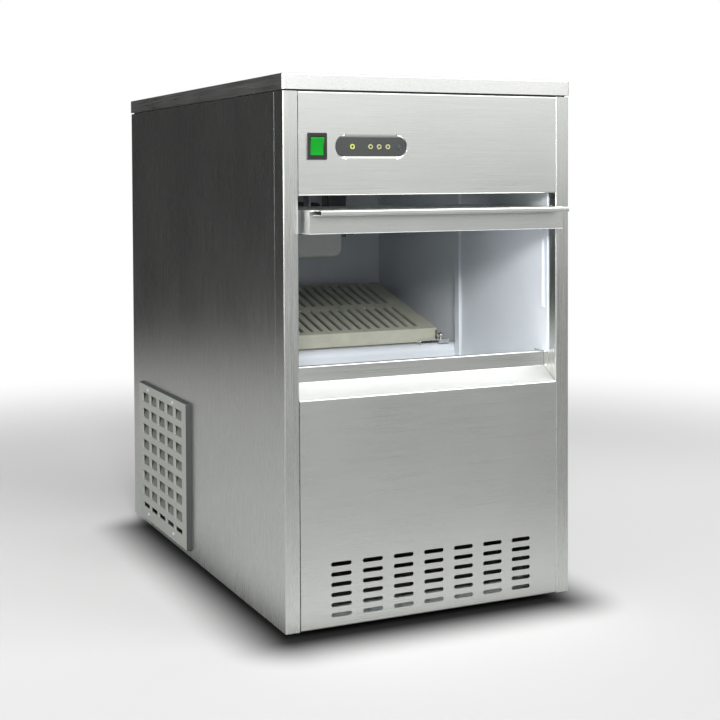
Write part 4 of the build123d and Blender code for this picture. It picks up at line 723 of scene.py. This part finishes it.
slat = [(x0, vane_low), (x0, vane_low + 1.6 * MM), (x1, vane_high + 1.6 * MM), (x1, vane_high)]
vane = prism(slat, low.y + 10 * MM, high.y - 10 * MM, lambda a, b, y: (a, y, b))
vane_holder = bpy.data.objects.new("vane", vane)
# The vanes take the dark grey painted shade of the recess behind the openings.
vanes = grow(row_tree, "vanes", Piece=vane_holder, Count=ROWS - 1, Step=(0.0, 0.0, -pitch_z),
             Material=vane_painted_shade)
bpy.data.objects.remove(vane_holder)
# Slot 1, the rim, takes the near-black painted shade.
for part, slot in ((face, 0), (foot, 0), (rim, 1), (vanes, 2)):
    part.materials.clear()
    part.polygons.foreach_set("material_index", [slot] * len(part.polygons))
grille_mesh = gathered("side_grille_soft", [face, foot, rim, vanes])
for finish in (grille_plastic, rim_painted_shade, vane_painted_shade):
    grille_mesh.materials.append(finish)
keep(grille_mesh, "side_grille_finished", body_of["side_grille"],
     replaces=["side_grille"])
print("grille openings:", COLUMNS * ROWS)

# %% [markdown]
# ## Studio
# The floor is pale grey near the machine, where it takes its shadow, and turns into the plain white of the
# background further out. Close to the cabinet it is darkened to the soft contact shadow that a wide
# overhead light leaves there. Rays from the camera find plain white far out. Rays that leave steel find the
# darker far floor and the unlit part of the studio instead, which gives the panels their long soft
# gradients. Just in front of the cabinet the floor is mirrored brighter, as low panels show it.
# Four soft lamps do the rest: two from above, one into the door's mouth, and one from the left for the
# grille.

# %% Floor
FLOOR_NEAR, FLOOR_FAR = 0.95, 1.9
MIRROR_NEAR, MIRROR_FAR = 1.5, 3.2
FLOOR_BACK, FLOOR_FRONT = 0.03, 0.2
CONTACT_REACH, CONTACT_DARK = 0.1, 0.08
FOOTPRINT = (0.175, 0.285, 0.0)
# PALE_FRONT makes the floor darker in front of the cabinet: painted shade that evens out the lamps' strong
# light there.
PALE_BACK, PALE_FRONT = 0.68, 0.49
STEEL_BACK, STEEL_FRONT, STEEL_CLOSE = 0.48, 0.2, 0.4
floor_mesh = bpy.data.meshes.new("floor")
reach = 12.0
corners = [(-reach, -reach, 0), (reach, -reach, 0), (reach, reach, 0), (-reach, reach, 0)]
floor_mesh.from_pydata(corners, [], [(0, 1, 2, 3)])
floor = bpy.data.objects.new("floor", floor_mesh)
bpy.context.scene.collection.objects.link(floor)
floor_look = bpy.data.materials.new("pale_floor")
floor_look.use_nodes = True
tree = floor_look.node_tree
tree.nodes.clear()
output = add_node(tree, "ShaderNodeOutputMaterial")
lit = add_node(tree, "ShaderNodeBsdfDiffuse")
place = add_node(tree, "ShaderNodeTexCoord")
length = add_node(tree, "ShaderNodeVectorMath", operation="LENGTH")
join(tree, place.outputs["Object"], length.inputs[0])
seen_far = map_range(tree, length.outputs["Value"], FLOOR_NEAR, FLOOR_FAR, smooth=True)
mirror_far = map_range(tree, length.outputs["Value"], MIRROR_NEAR, MIRROR_FAR, smooth=True)
path = add_node(tree, "ShaderNodeLightPath")
far = add_node(tree, "ShaderNodeMix")
sources = (path.outputs["Is Glossy Ray"], seen_far, mirror_far)
for socket, source in zip(far.inputs[0:1] + far.inputs[2:4], sources):
    join(tree, source, socket)
shade = add_node(tree, "ShaderNodeVectorMath", operation="ABSOLUTE")
join(tree, place.outputs["Object"], shade.inputs[0])
outside = add_node(tree, "ShaderNodeVectorMath", operation="SUBTRACT")
join(tree, shade.outputs[0], outside.inputs[0])
outside.inputs[1].default_value = FOOTPRINT
beyond = add_node(tree, "ShaderNodeVectorMath", operation="MAXIMUM")
join(tree, outside.outputs[0], beyond.inputs[0])
gap = add_node(tree, "ShaderNodeVectorMath", operation="LENGTH")
join(tree, beyond.outputs[0], gap.inputs[0])
contact = map_range(tree, gap.outputs["Value"], 0.0, CONTACT_REACH, CONTACT_DARK, 1.0, smooth=True)
spot = add_node(tree, "ShaderNodeSeparateXYZ")
join(tree, place.outputs["Object"], spot.inputs[0])
ahead = map_range(tree, spot.outputs["Y"], 0.3, -0.8, smooth=True)
# Darker towards the front: painted shade against the lamps' light on the near floor.
seen_pale = mix_colour(tree, ahead, grey(PALE_BACK), grey(PALE_FRONT))
nearby = map_range(tree, gap.outputs["Value"], 0.75, 0.1, smooth=True)
mirror_front = mix_colour(tree, nearby, grey(STEEL_FRONT), grey(STEEL_CLOSE))
mirror_pale = mix_colour(tree, ahead, grey(STEEL_BACK), mirror_front)
pale = mix_colour(tree, path.outputs["Is Glossy Ray"], seen_pale, mirror_pale)
join(tree, mix_colour(tree, contact, grey(0.0), pale), lit.inputs["Color"])
mirrored = mix_colour(tree, ahead, grey(FLOOR_BACK), grey(FLOOR_FRONT))
far_colour = mix_colour(tree, path.outputs["Is Glossy Ray"], grey(0.35), mirrored)
far_colour = mix_colour(tree, path.outputs["Is Camera Ray"], far_colour, grey(1.0))
plain = add_node(tree, "ShaderNodeEmission")
join(tree, far_colour, plain.inputs["Color"])
blend = add_node(tree, "ShaderNodeMixShader")
join(tree, far.outputs[0], blend.inputs[0])
join(tree, lit.outputs[0], blend.inputs[1])
join(tree, plain.outputs[0], blend.inputs[2])
join(tree, blend.outputs[0], output.inputs["Surface"])
floor_mesh.materials.append(floor_look)
floor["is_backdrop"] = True

# %% World
world = bpy.data.worlds.new("studio")
bpy.context.scene.world = world
world.use_nodes = True
tree = world.node_tree
tree.nodes.clear()
output = add_node(tree, "ShaderNodeOutputWorld")
place = add_node(tree, "ShaderNodeTexCoord")
apart = add_node(tree, "ShaderNodeSeparateXYZ")
join(tree, place.outputs["Generated"], apart.inputs[0])
DARK_SIDE, BRIGHT_LOW, BRIGHT_HIGH = 0.03, 0.15, 1.5
towards_front = map_range(tree, apart.outputs["Y"], 0.35, -0.35, smooth=True)
overhead = map_range(tree, apart.outputs["Z"], 0.4, 0.95, smooth=True)
climb = map_range(tree, apart.outputs["Z"], -0.06, 0.16, smooth=True)
front_light = mix_colour(tree, climb, grey(BRIGHT_LOW), grey(BRIGHT_HIGH))
studio = mix_colour(tree, towards_front, grey(DARK_SIDE), front_light)
studio = mix_colour(tree, overhead, studio, grey(0.9))
path = add_node(tree, "ShaderNodeLightPath")
seen = mix_colour(tree, path.outputs["Is Glossy Ray"], grey(0.5), studio)
seen = mix_colour(tree, path.outputs["Is Transmission Ray"], seen, grey(1.0))
seen = mix_colour(tree, path.outputs["Is Camera Ray"], seen, grey(1.0))
background = add_node(tree, "ShaderNodeBackground", {"Strength": 1.0})
join(tree, seen, background.inputs["Color"])
join(tree, background.outputs[0], output.inputs["Surface"])

# %% Lamps


def lamp(name, place, aim, size, power):
    data = bpy.data.lights.new(name, "AREA")
    data.shape = "RECTANGLE"
    data.size, data.size_y = size
    data.energy = power
    light = bpy.data.objects.new(name, data)
    light.location = place
    light.rotation_euler = (Vector(aim) - Vector(place)).to_track_quat("-Z", "Y").to_euler()
    bpy.context.scene.collection.objects.link(light)


lamp("key_right", (1.6, -1.6, 2.2), (0.0, 0.0, 0.3), (1.6, 1.6), 36.0)
lamp("top_front", (-0.3, -1.5, 2.6), (0.0, -0.2, 0.35), (2.2, 1.2), 28.0)
lamp("door_mouth", (-0.9, -2.5, 1.25), (0.0, 0.0, 0.38), (0.7, 0.5), 50.0)
lamp("left_fill", (-2.2, -1.0, 0.9), (-0.19, 0.1, 0.25), (1.2, 1.2), 18.0)

low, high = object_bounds()
